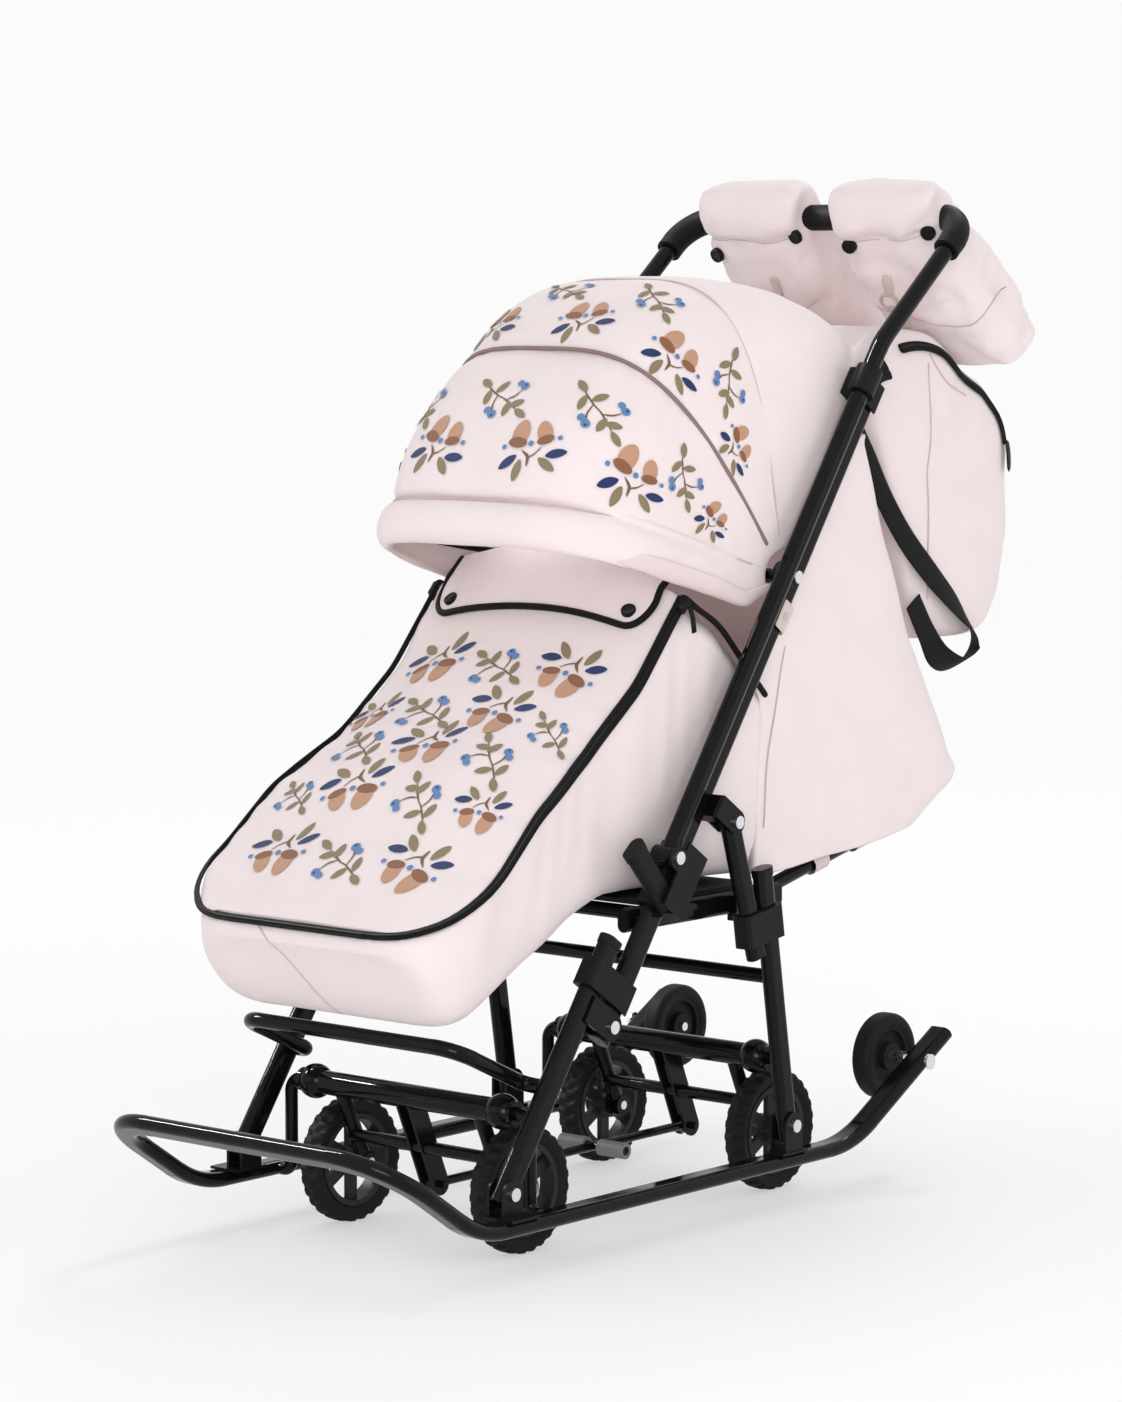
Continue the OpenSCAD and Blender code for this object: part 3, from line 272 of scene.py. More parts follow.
sky(0.77)
lamp("fill", (2.8, -3.2, 1.1), (0, 0, 0.6), 1.6, 53)
lamp("front", (-0.9, -4.0, 1.3), (0, 0, 0.6), 2.0, 4)
lamp("behind", (-0.9, 2.6, 3.4), (0, 0, 0.4), 0.8, 30)
lamp("side", (3.2, 0.9, 1.5), (0, 0, 0.7), 1.6, 7)
lamp("strip", (-2.4, -1.3, 3.4), (0, 0, 0.6), 0.10, 320, 2.8)
lamp("under_canopy", (-0.05, 0.0, 0.86), (0.12, 0.1, 0.6), 0.2, 0.42)

# %% [markdown]
# ### Cloth
# The shell cloth is a fine plain weave with a soft nap. Two crossed waves make the weave, a slower noise
# makes soft lumps in the bump and paints shade into their hollows, and a sheen lifts the edges. The printed
# colours are thin flat shapes on the cloth, with the same weave in them.

# %% Cloth materials
def cloth_look(name, colour, weave=0.0007, crease=0.05, depth=0.0012, sheen=0.2):
    look = Look(name)
    x, y, z = look.axes()
    turn = 2 * math.pi / weave
    threads = ((x + y) * turn).sin() * ((z + y * 0.37) * turn).sin()
    slow = look.noise(crease, 4.0, 0.55)
    fine = look.noise(0.004, 2.0)
    # Painted shade: the cloth is darker where the slow noise is low, which is where the bump sinks into
    # hollows.
    hollow_shade = tuple(c * 0.94 for c in colour)
    tone = look.mix((slow - 0.3) * 1.3, hollow_shade, colour)
    surface = slow * (depth / 0.0004) + fine * 0.25 + threads * 0.16
    look.set(Base_Color=tone, Roughness=0.82 + fine * 0.12, Normal=look.bump(surface, 0.0004, 0.5))
    look.set(Sheen_Weight=sheen, Sheen_Roughness=0.45, Specular_IOR_Level=0.22)
    return look.mat


CLOTH = cloth_look("pale_cloth", linear(243, 229, 229))
LINING = cloth_look("lining_cloth", linear(232, 214, 214))
SEAM = cloth_look("seam_thread", linear(206, 186, 187), 0.0012, 0.02, 0.0003)
TAUPE = cloth_look("taupe_piping", linear(140, 118, 117), 0.0009, 0.02, 0.0002, 0.1)
BINDING = cloth_look("black_binding", linear(16, 16, 17), 0.0011, 0.02, 0.0003, 0.02)
WEBBING = cloth_look("black_webbing", linear(19, 19, 20), 0.0018, 0.03, 0.0002, 0.03)
TAB = cloth_look("tab_cloth", linear(214, 198, 195), 0.0012, 0.02, 0.0002, 0.1)
LEAF = cloth_look("print_leaf", linear(141, 127, 98), 0.0007, 0.004, 0.0002, 0.1)
STEM = cloth_look("print_stem", linear(122, 98, 76), 0.0007, 0.004, 0.0002, 0.1)
BERRY = cloth_look("print_berry", linear(98, 136, 186), 0.0007, 0.004, 0.0002, 0.1)
NAVY = cloth_look("print_navy", linear(40, 58, 104), 0.0007, 0.004, 0.0002, 0.1)
NUT = cloth_look("print_nut", linear(196, 152, 124), 0.0007, 0.004, 0.0002, 0.1)
CUP = cloth_look("print_cup", linear(142, 98, 72), 0.0007, 0.004, 0.0002, 0.1)
PRINT = [LEAF, STEM, BERRY, NAVY, NUT, CUP]
print("cloths", 7 + len(PRINT))

# %% [markdown]
# ### Metal, plastic and rubber
# The tubes are powder coated in gloss black: a deep base that is uneven on a centimetre scale, so that long
# reflections waver. Mouldings are matt with a fine grain. Zinc bolts are bright with turned marks.

# %% Hard materials
def paint_look(name, colour, rough):
    look = Look(name)
    wave = look.noise(0.03, 2.0)
    peel = look.noise(0.0025, 2.0)
    look.set(Base_Color=look.mix(wave, colour, tuple(c * 1.4 + 0.001 for c in colour)))
    look.set(Roughness=rough + wave * 0.04, Normal=look.bump(peel + wave * 2.0, 0.0001, 0.3))
    look.set(Specular_IOR_Level=0.14)
    return look.mat


def moulded_look(name, colour, rough=0.5, gloss=0.12):
    look = Look(name)
    grain = look.noise(0.0009, 2.0)
    slow = look.noise(0.02, 3.0)
    look.set(Base_Color=look.mix(slow, colour, tuple(c * 1.3 + 0.001 for c in colour)))
    look.set(Roughness=rough + grain * 0.15, Normal=look.bump(grain, 0.0001, 0.5))
    look.set(Specular_IOR_Level=gloss)
    return look.mat


def zinc_look():
    look = Look("bright_zinc")
    rub = look.noise(0.0015, 3.0)
    look.set(Base_Color=look.mix(rub, (0.62, 0.63, 0.65), (0.82, 0.83, 0.84)), Metallic=1.0)
    look.set(Roughness=0.16 + rub * 0.2, Normal=look.bump(rub, 0.00005, 0.4))
    return look.mat


def rubber_look():
    look = Look("tyre_rubber")
    dust = look.noise(0.012, 4.0)
    grain = look.noise(0.0012, 2.0)
    look.set(Base_Color=look.mix(dust, (0.006, 0.006, 0.0065), (0.016, 0.016, 0.0165)))
    look.set(Roughness=0.5 + dust * 0.25, Normal=look.bump(grain, 0.00015, 0.5))
    look.set(Specular_IOR_Level=0.12)
    return look.mat


PAINT = paint_look("gloss_black_paint", (0.0035, 0.0035, 0.004), 0.06)
SATIN = paint_look("satin_black_paint", (0.005, 0.005, 0.0055), 0.28)
PLASTIC = moulded_look("black_plastic", (0.0065, 0.0065, 0.007), 0.36)
RIM = moulded_look("rim_plastic", (0.02, 0.02, 0.022), 0.3)
GREY = moulded_look("grey_plastic", linear(118, 119, 121), 0.42)
RING = moulded_look("ring_plastic", linear(182, 165, 163), 0.4, 0.3)
FOAM = moulded_look("foam_grip", (0.0065, 0.0065, 0.007), 0.5)
ZINC = zinc_look()
RUBBER = rubber_look()
BY_SLOT = {"painted_tube": PAINT, "black_plate": SATIN, "black_plastic": PLASTIC, "zinc": ZINC,
           "tyre": RUBBER, "rim_plastic": RIM, "grey_plastic": GREY, "foam": FOAM, "pale_cloth": CLOTH,
           "webbing": WEBBING}
for part in frame["record"]["subparts"]:
    mesh = nodes[part["node"]].data
    mesh.materials.clear()
    mesh.materials.append(BY_SLOT[part["material_slot"]])

# %% [markdown]
# ## Making cloth pieces
# A soft piece is a grid of points. Sewer collects grids, tubes and buttons into one mesh with several
# materials: a slab is a grid with thickness, a tube follows a line, and a flat tube is a band. Side-view
# sizes are in millimetres and become the part's own metres at the end.

# %% Lines and grids
def lerp(table, x):
    """A value from a table of places and values."""
    keys = sorted(table)
    return float(np.interp(x, [k[0] for k in keys], [k[1] for k in keys]))


def soft_lerp(table, x, reach=14.0):
    """The same, rounded off over a reach to both sides."""
    return float(np.mean([lerp(table, x + reach * k) for k in (-1, -0.5, 0, 0.5, 1)]))


def unit(v):
    v = np.asarray(v, float)
    return v / np.maximum(np.linalg.norm(v, axis=-1, keepdims=True), 1e-9)


def grid_normals(grid):
    """The outward direction at each point of a grid whose rows and columns turn the right way."""
    return unit(np.cross(np.gradient(grid, axis=0), np.gradient(grid, axis=1)))


def lumps(grid, size, depth, seed=0.0):
    """Soft noise for each point, in millimetres."""
    shift = Vector((seed, 0, 0))
    return np.array([[depth * noise.noise(Vector(p) / size + shift) for p in line] for line in grid])


def along(p, deg, d):
    return np.array([p[0] + d * math.cos(math.radians(deg)), p[1] + d * math.sin(math.radians(deg))])


def boxy(a, share):
    """The two shares of a squarish half ring at an angle: across and deep."""
    c, s = math.cos(a), math.sin(a)
    return math.copysign(abs(c) ** share, c), abs(s) ** share


def row(y, z):
    """A side-view place in millimetres as a point of the part."""
    return (0.0, (y - MID) / 1000, z / 1000)


def smooth_line(points, count):
    """A rounded line through the points, with an even number of steps."""
    points = np.asarray(points, float)
    p = np.vstack([2 * points[0] - points[1], points, 2 * points[-1] - points[-2]])
    out = []
    for t in np.linspace(0, len(points) - 1, count):
        k = min(int(t), len(points) - 2)
        u = t - k
        a, b, c, d = p[k], p[k + 1], p[k + 2], p[k + 3]
        out.append(0.5 * (2 * b + (c - a) * u + (2 * a - 5 * b + 4 * c - d) * u ** 2
                          + (3 * b - a - 3 * c + d) * u ** 3))
    return np.array(out)


print("a soft corner", round(soft_lerp([(0, 0), (50, 0), (100, 50)], 50), 2))

# %% Sewer
class Sewer:
    """Points, faces and the material of each face, for one piece."""

    def __init__(self):
        self.points, self.faces, self.mats = [], [], []

    def grid(self, grid, mat=0, ring=False, flip=False):
        rows, cols = grid.shape[:2]
        start = len(self.points)
        self.points += [tuple(p) for p in grid.reshape(-1, 3)]
        for i in range(rows - 1):
            for j in range(cols if ring else cols - 1):
                k = (j + 1) % cols
                face = [start + i * cols + j, start + (i + 1) * cols + j, start + (i + 1) * cols + k,
                        start + i * cols + k]
                self.faces.append(face[::-1] if flip else face)
                self.mats.append(mat)
        return start

    def slab(self, grid, thick, mat=0, inside=None):
        """A grid with thickness: the given side is the outer one."""
        rows, cols = grid.shape[:2]
        a = self.grid(grid, mat)
        b = self.grid(grid - grid_normals(grid) * thick, mat if inside is None else inside, flip=True)
        edge = [(i, 0) for i in range(rows - 1, -1, -1)] + [(0, j) for j in range(1, cols)]
        edge += [(i, cols - 1) for i in range(1, rows)] + [(rows - 1, j) for j in range(cols - 2, -1, -1)]
        for (i, j), (k, l) in zip(edge, edge[1:]):
            p, q = i * cols + j, k * cols + l
            self.faces.append([a + p, a + q, b + q, b + p])
            self.mats.append(mat)

    def tube(self, line, radius, mat=0, sides=10, flat=None, up=None, closed=False):
        """A tube along a line; flat gives the second radius, and up the direction it lies in."""
        line = np.asarray(line, float)
        if closed:
            ahead = unit(np.roll(line, -1, 0) - np.roll(line, 1, 0))
        else:
            ahead = unit(np.gradient(line, axis=0))
        up = np.array([0.0, 0, 1.0]) if up is None else np.asarray(up, float)
        radius = np.broadcast_to(np.asarray(radius, float), len(line))[:, None, None]
        up = np.broadcast_to(up, line.shape)
        side = unit(np.cross(ahead, up))
        lift = unit(np.cross(side, ahead))
        turn = np.linspace(0, 2 * np.pi, sides, endpoint=False)
        r2 = radius if flat is None else flat
        ring = (line[:, None] + radius * np.cos(turn)[None, :, None] * side[:, None]
                + r2 * np.sin(turn)[None, :, None] * lift[:, None])
        if closed:
            ring = np.concatenate([ring, ring[:1]])
        start = self.grid(ring, mat, ring=True)
        if not closed:
            self.faces.append([start + j for j in range(sides)])
            self.faces.append([start + (len(line) - 1) * sides + j for j in range(sides - 1, -1, -1)])
            self.mats += [mat, mat]

    def disc(self, at, ahead, radius, high, mat=0, sides=20, hollow=0.0):
        """A domed button that faces ahead."""
        ahead = unit(ahead)
        side = unit(np.cross(ahead, [0.31, 0.2, 0.93]))
        lift = np.cross(ahead, side)
        turn = np.linspace(0, 2 * np.pi, sides, endpoint=False)
        shape = [(1.0, -0.2), (1.0, 0.55), (0.93, 0.85), (0.8, 0.95), (0.62, 0.9 - hollow),
                 (0.3, 0.92 - hollow), (0.02, 0.93 - hollow)]
        spokes = [np.cos(t) * side + np.sin(t) * lift for t in turn]
        rows = [[np.asarray(at) + ahead * high * h + radius * r * spoke for spoke in spokes]
                for r, h in shape]
        self.grid(np.array(rows), mat, ring=True)

    def tree(self):
        """The faces so far, for finding a place on them."""
        return BVHTree.FromPolygons(self.points, self.faces)

    def make(self, name, body, mats, smooth=1, replaces=()):
        mesh = bpy.data.meshes.new(name)
        pts = np.array(self.points)
        pts[:, 1] -= MID
        mesh.from_pydata((pts / 1000).tolist(), [], self.faces)
        for m in mats:
            mesh.materials.append(m)
        mesh.polygons.foreach_set("material_index", self.mats)
        mesh.polygons.foreach_set("use_smooth", [True] * len(self.faces))
        mesh.validate()
        piece = bpy.data.objects.new(name, mesh)
        bpy.context.scene.collection.objects.link(piece)
        if smooth:
            soften = piece.modifiers.new("soften", "SUBSURF")
            soften.levels = soften.render_levels = smooth
        if body:
            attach(piece, body)
        if replaces:
            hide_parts(*replaces)
        print(name, len(self.points), "points")
        return piece


def drop(tree, points, way, lift=0.4):
    """Each point is moved along the way until it meets the cloth, and then lifted a little."""
    out = []
    for p in points:
        hit = tree.ray_cast(Vector(p) - 400 * Vector(way), Vector(way))[0]
        out.append(np.array(hit) - lift * np.array(way) if hit else np.array(p, float))
    return np.array(out)


print("sewing tools ready")

# %% [markdown]
# ## The print
# The cloth has a sparse print in tan, brown, olive and blue: acorns between leaves, and berry twigs, set in
# turned half-drop rows. Each shape is a thin flat fan of faces that follows the cloth, so that it moves and
# folds with it.

# %% Print shapes
def oval(u, v, long, wide, deg, count=12, point=0.0):
    """An oval, or a leaf when point is above 0, turned by some degrees."""
    c, s = math.cos(math.radians(deg)), math.sin(math.radians(deg))
    out = []
    for t in np.linspace(0, 2 * np.pi, count, endpoint=False):
        p = long / 2 * math.cos(t)
        q = wide / 2 * math.sin(t) * (abs(math.sin(t)) ** point)
        out.append((u + p * c - q * s, v + p * s + q * c))
    return out


def stalk(points, wide):
    """A thin bent strip as one outline."""
    line = smooth_line(points, 9)
    side = unit(np.gradient(line, axis=0))[:, ::-1] * [-1, 1]
    taper = np.linspace(1.0, 0.5, len(line))[:, None]
    left, right = line + side * wide / 2 * taper, line - side * wide / 2 * taper
    return [tuple(p) for p in left] + [tuple(p) for p in right[::-1]]


def berry_twig():
    shapes = [(1, stalk([(-22, -18), (-8, -4), (4, 4), (20, 22)], 2.0)),
              (1, stalk([(-8, -4), (-12, 8), (-10, 16)], 1.4)),
              (1, stalk([(4, 4), (14, 2), (22, -6)], 1.4))]
    leaves = ((-20, -4, 100), (-4, -14, -40), (6, 16, 110), (18, 12, -10), (24, 26, 45), (-26, -24, 225))
    for u, v, deg in leaves:
        shapes.append((0, oval(u, v, 19, 9, deg, 14, 0.5)))
    for u, v, r in ((-10, 19, 5.2), (-16, 13, 4.4), (24, -9, 5.2), (18, -14, 4.2)):
        shapes.append((2, oval(u, v, 2 * r, 2 * r, 0)))
    shapes += [(3, oval(-10, 20.5, 3, 3, 0, 8)), (3, oval(25, -10, 3, 3, 0, 8))]
    return shapes


def acorn_sprig():
    shapes = [(1, stalk([(-2, 34), (0, 22), (-10, 14)], 2.2)), (1, stalk([(0, 24), (8, 20), (15, 13)], 2.2))]
    for u, v, deg in ((-26, 26, 150), (-14, 37, 110), (22, 34, 40), (33, 22, -10)):
        shapes.append((3 if u > 30 or u < -20 else 0, oval(u, v, 26, 11, deg, 14, 0.5)))
    for u, v, deg, k in ((-13, -6, -78, 1.0), (17, -4, -104, 0.86)):
        c, s = math.cos(math.radians(deg)), math.sin(math.radians(deg))
        shapes.append((4, oval(u, v, 34 * k, 22 * k, deg, 16, 0.15)))
        shapes.append((5, oval(u - 11 * k * c, v - 11 * k * s, 13 * k, 25 * k, deg, 14)))
    shapes += [(2, oval(2, 8, 7, 7, 0)), (2, oval(-32, 8, 6, 6, 0)), (2, oval(36, 4, 6, 6, 0))]
    return shapes


def print_on(sewer, grid, at, turn, size, shapes, first):
    """The shapes are laid on a grid, just above the cloth, round a row and a distance from its middle."""
    normals = grid_normals(grid)
    i0 = int(round(at[0]))
    across = np.concatenate([[0], np.cumsum(np.linalg.norm(np.diff(grid[i0], axis=0), axis=1))])
    across -= across[-1] / 2
    j0 = int(round(np.interp(at[1], across, np.arange(len(across)))))
    down = np.concatenate([[0], np.cumsum(np.linalg.norm(np.diff(grid[:, j0], axis=0), axis=1))])
    c, s = size * math.cos(math.radians(turn)), size * math.sin(math.radians(turn))

    def on_cloth(u, v, lift):
        i = min(np.interp(down[i0] + u * s + v * c, down, np.arange(len(down))), grid.shape[0] - 1.01)
        j = min(np.interp(at[1] + u * c - v * s, across, np.arange(len(across))), grid.shape[1] - 1.01)
        a, b = int(i), int(j)
        p, q = i - a, j - b
        w = [(1 - p) * (1 - q), p * (1 - q), (1 - p) * q, p * q]
        k = [(a, b), (a + 1, b), (a, b + 1), (a + 1, b + 1)]
        return sum(x * (grid[n] + normals[n] * lift) for x, n in zip(w, k))

    for order, (mat, outline) in enumerate(shapes):
        lift = 0.7 + 0.09 * order
        middle = np.mean(outline, axis=0)
        start = len(sewer.points)
        sewer.points.append(tuple(on_cloth(*middle, lift)))
        for share in (0.55, 1.0):
            ring = [middle + (np.array(p) - middle) * share for p in outline]
            sewer.points += [tuple(on_cloth(*p, lift)) for p in ring]
        n = len(outline)
        hub, first_out, next_out = (np.array(sewer.points[start + k]) for k in (0, 1, 1 + n // 4))
        way = np.cross(first_out - hub, next_out - hub)
        facing = np.dot(way, normals[i0, j0]) > 0
        for k in range(n):
            m = (k + 1) % n
            a, b, c1, d = start + 1 + k, start + 1 + m, start + 1 + n + m, start + 1 + n + k
            for face in ([start, a, b], [a, d, c1, b]):
                sewer.faces.append(face if facing else face[::-1])
                sewer.mats.append(first + mat)


print("print shapes", len(berry_twig()), len(acorn_sprig()))

# %% [markdown]
# ## The leg tub
# The tub is a padded trough sewn from two side panels, a floor and a foot panel. Its line comes from the
# same points as the solid it stands for: a floor line, a rim line, and the half widths at the floor and
# rim. It is made as one shell whose points are puffed between the seams, because a sewn trough keeps its
# shape by its panels.

# %% Tub
REAR, FRONT, SEAT, COVER_REAR = 140.0, -415.0, 360.4, -4.8
TURN = -330.0
FOOT = TURN - FRONT
FLOOR = [(FRONT, 345), (-372, 262), (-335, 249), (-150, 343), (-100, SEAT), (REAR, SEAT)]
RIMLINE = [(FRONT, 352), (-380, 370), (-318, 412), (-256, 466), (-165, 518), (-80, 584), (-3, 675), (58, 640),
           (REAR, 560)]
HALVES = [(TURN, 195), (-230, 187), (-164, 173), (REAR, 173)]


def half_at(y):
    """The half width of the rim: straight sides and a rounded foot."""
    if y < TURN:
        t = (y - FRONT) / FOOT
        return 100 + 95 * math.sqrt(max(0.0, 1 - (1 - t) ** 2))
    return soft_lerp(HALVES, y, 20)


def rim_at(y):
    return soft_lerp(RIMLINE, y, 9) if y < -25 else lerp(RIMLINE, y)


def foot_rows(start, count):
    """Places from the rear to the foot, closer together where the foot turns."""
    back = np.linspace(start, TURN, count)
    return np.concatenate([back, TURN - FOOT * np.sin(np.linspace(0, math.pi / 2, 14)[1:])])


def tub_point(y, a, wall=0.0):
    low, half = soft_lerp(FLOOR, y, 16) + wall, half_at(y)
    high = max(rim_at(y), low + 4)
    wide, drop_share = boxy(a, 0.22)
    base = min(160.0, half)
    x = (base + (half - base) * (1 - drop_share) - wall) * wide
    return (x, y, high - (high - low) * drop_share)


def tub_piece():
    ys = foot_rows(REAR, 56)
    turns = np.linspace(0, math.pi, 61)
    grid = np.array([[tub_point(y, a, 2.0) for a in turns] for y in ys])
    puff = np.array([[2.4 * math.sin(2 * a) ** 2 * min(1.0, (y - FRONT) / 60) for a in turns] for y in ys])
    pull = np.array([[0.9 * math.sin(y / 7.5 + 2 * math.sin(y / 31)) * math.exp(-min(a, math.pi - a) / 0.16)
                      for a in turns] for y in ys])
    grid = grid + grid_normals(grid) * (puff + pull + lumps(grid, 55.0, 2.2))[..., None]
    tip = grid[-1].copy()
    tip[:, 1:] = (FRONT - 1.0, rim_at(FRONT))
    grid = np.concatenate([grid, tip[None]])
    sewer = Sewer()
    sewer.slab(grid, 6.0, 0, 1)
    tree = sewer.tree()
    foot = smooth_line([(-53, -480, 352), (-25, -480, 317), (10, -480, 259)], 24)
    sewer.tube(drop(tree, foot, (0, 1, 0), 0.3), 1.1, 2, 6)
    for side in (-1, 1):
        edge = ((-10, 672), (-3, 677), (20, 664), (58, 642), (96, 605), (REAR, 561))
        sewer.tube(smooth_line([(side * 173.5, y, z) for y, z in edge], 40), 3.6, 3, 10)
    return sewer.make("leg_tub_cloth", "seat", [CLOTH, LINING, SEAM, BINDING], 1, ["leg_tub"])


tub = tub_piece()

# %% [markdown]
# ## The zip
# A black zip runs along the rim from one top corner round the foot to the other. It is a flat band that
# leans outwards, with a raised row of teeth and a slider with a pull tab at the near end.

# %% Zip
def rim_path():
    near = [(half_at(y), y, rim_at(y) + 3) for y in foot_rows(-5, 70)]
    across = [(x, FRONT - 1.5, rim_at(FRONT) + 3) for x in np.linspace(96, -96, 24)]
    return np.array(near + across + [(-x, y, z) for x, y, z in near[::-1]])


def zip_piece():
    path = rim_path()
    ahead = unit(np.gradient(path, axis=0))
    plan = unit(np.stack([-ahead[:, 1], ahead[:, 0], 0 * ahead[:, 0]], 1))
    out = unit(0.8 * plan + np.array([0, 0, 0.6]))
    sewer = Sewer()
    wide = 4.6 + 2.2 * np.clip((path[:, 1] + 380) / 200, 0, 1)
    sewer.tube(path + out * 1.0, wide, 0, 12, flat=1.7, up=out)
    teeth = path + out * 2.4
    steps = np.concatenate([[0], np.cumsum(np.linalg.norm(np.diff(teeth, axis=0), axis=1))])
    fine = np.arange(0, steps[-1], 1.3)
    coil = np.stack([np.interp(fine, steps, teeth[:, k]) for k in range(3)], 1)
    lift = np.stack([np.interp(fine, steps, out[:, k]) for k in range(3)], 1)
    sewer.tube(coil + lift * (0.7 * (np.arange(len(fine)) % 2))[:, None], 1.7, 1, 6, up=lift)
    for side in (1, -1):
        sewer.tube([(side * 177, -14, 664), (side * 179, -3, 674)], 6, 1, 10, flat=4, up=(side, 0, 0.3))
        sewer.tube([(side * 182, -3, 668), (side * 183.5, 0, 655), (side * 183, 3, 640)], 4, 1, 10, flat=1.3,
                   up=(1, 0, 0))
    print("zip", round(steps[-1]), "mm long")
    return sewer.make("cover_zip", "seat", [BINDING, PLASTIC], 0, ())


zip_band = zip_piece()

# %% [markdown]
# ## The leg cover and its flap
# The cover is a crowned sheet zipped to the tub's rim all round, drawn into small puckers along the zip.
# The flap is the turned-down top of the cover, with rounded corners, bound in black and held by two snaps.

# %% Cover
def cover_point(y, s, lift=0.0):
    fade = 1 - min(1.0, (COVER_REAR - y) / 410.2) ** 6
    tuck = 4.0 * (max(0.0, abs(s) - 0.93) / 0.07) ** 2
    return (half_at(y) * s * 0.985, y, rim_at(y) + 0.4 + lift + 26 * fade * (1 - s * s) - tuck)


def cover_piece():
    ys = foot_rows(COVER_REAR, 60)
    ys = np.where(ys < TURN, TURN + (ys - TURN) * (FOOT - 3) / FOOT, ys)
    shares = np.linspace(-1, 1, 61)
    grid = np.array([[cover_point(y, s, 7) for s in shares] for y in ys])
    pucker = np.array([[math.sin(y / 6.1 + 1.4 * math.sin(y / 23) + 3 * s) * max(0.0, (abs(s) - 0.7) / 0.3)
                        for s in shares] for y in ys])
    knees = np.array([[5.0 * math.exp(-((y + 190) / 70) ** 2) * math.exp(-((abs(s) - 0.42) / 0.3) ** 2)
                       for s in shares] for y in ys])
    grid = grid + grid_normals(grid) * (lumps(grid, 64.0, 2.4, 3.1) + pucker + knees)[..., None]
    sewer = Sewer()
    sewer.slab(grid, 6.0, 0, 1)
    count = 0
    for k, y in enumerate((-102, -162, -222, -282, -346)):
        i = float(np.interp(-y, -ys, np.arange(len(ys))))
        for col in range(-2, 4):
            x = (col - (0.5 if k % 2 else 0.0)) * 92
            if abs(x) > half_at(y) - 32:
                continue
            fit = 0.8 if abs(x) > 120 else 1.0
            x = max(-129, min(129, x))
            shape, big = (acorn_sprig(), 1.08) if (k // 2 + col) % 2 else (berry_twig(), 1.12)
            print_on(sewer, grid, (i, x), 162 + (37 * k + 23 * col) % 36, big * fit, shape, 2)
            count += 1
    print("motifs on the cover", count)
    return sewer.make("leg_cover_cloth", "seat", [CLOTH, LINING] + PRINT, 1, ["leg_cover"])


def flap_low(s, half=0.88, corner=0.15):
    cut = max(0.0, abs(s) - (half - corner)) / corner
    return -47.0 + 25 * (1 - math.sqrt(max(0.0, 1 - cut * cut)))


def flap_piece():
    shares = 0.88 * np.sin(np.linspace(-math.pi / 2, math.pi / 2, 45))
    grid = np.array([[cover_point(-5 + (flap_low(s) + 5) * k, s, 14.6 + 3 * math.sin(math.pi * k))
                      for s in shares] for k in np.linspace(0, 1, 14)])
    above = [grid[0] + k * np.array([0, 1.0, 0.9]) for k in (16, 11, 6)]
    grid = np.concatenate([above, grid])
    grid = grid + grid_normals(grid) * lumps(grid, 45.0, 1.6, 5.5)[..., None]
    sewer = Sewer()
    sewer.slab(grid, 5.5, 0, 1)
    edge = np.concatenate([grid[:, 0], grid[-1, 1:-1], grid[::-1, -1]])
    sewer.tube(edge - [0, 0, 2.0], 4.0, 2, 10)
    for s in (-0.74, 0.74):
        at = np.array(cover_point(-37, s, 15.2))
        sewer.disc(at, (0.3 * s, -0.6, 0.75), 8.5, 5.0, 3, 24, 0.15)
    mats = [CLOTH, LINING, BINDING, PLASTIC]
    return sewer.make("cover_flap_cloth", "seat", mats, 1, ["cover_flap"])


cover = cover_piece()
flap = flap_piece()

# %% [markdown]
# ## Seat and back cushions
# Both cushions are crowned, with drawn-in sides and sewn channels across. They could be blown up by a cloth
# simulation. Here they are made point by point from an edge seam, which is quick and keeps the channels
# sharp.

# %% Cushions
BACK_PIVOT, BACK_TILT = (152, 342), 13


def pillow_share(s):
    return (1 - abs(s) ** 4) ** 0.35


def cushion(name, body, at, half, length, thick, channels, node):
    """A channelled cushion; at maps across, along and up to a place."""
    rows, cols = 45, 31
    top, under = [], []
    for i in np.linspace(-1, 1, rows):
        line, low = [], []
        for j in np.linspace(-1, 1, cols):
            sewn = 1 - 0.3 * abs(math.cos((i + 1) / 2 * channels * math.pi)) ** 10
            high = 3 + (thick - 3) * pillow_share(i) * pillow_share(j) * sewn
            pull = 1 - 0.03 * (1 - i * i)
            line.append(at(j * half * pull, (i + 1) / 2 * length, high))
            low.append(at(j * half * pull, (i + 1) / 2 * length, 0.5))
        top.append(line)
        under.append(low)
    sewer = Sewer()
    top, under = np.array(top), np.array(under)
    sewer.grid(top, 0)
    sewer.grid(under, 0, flip=True)
    edge = [(i, 0) for i in range(rows)] + [(rows - 1, j) for j in range(1, cols)]
    edge += [(i, cols - 1) for i in range(rows - 2, -1, -1)] + [(0, j) for j in range(cols - 2, -1, -1)]
    for (i, j), (k, l) in zip(edge, edge[1:]):
        p, q, n = i * cols + j, k * cols + l, rows * cols
        sewer.faces.append([q, p, n + p, n + q])
        sewer.mats.append(0)
    ring = [(top[i, j] + under[i, j]) / 2 for i, j in edge[:-1]]
    sewer.tube(ring, 2.2, 1, 8, closed=True)
    return sewer.make(name, body, [LINING, SEAM], 1, [node])


def on_seat(x, d, h):
    return (x, 128 - d, SEAT + 7.8 + 6 * (abs(x) / 112) ** 4 + h)


def on_back(x, d, h):
    p = along(BACK_PIVOT, BACK_TILT, 318 - d)
    q = along(p, BACK_TILT + 90, 8.6 + h)
    return (x, q[0], q[1])


seat_cushion = cushion("seat_cushion", "seat", on_seat, 110, 206, 33, 3, "seat_pad")
back_cushion = cushion("back_cushion", "backrest", on_back, 130, 284, 25, 4, "backrest_pad")
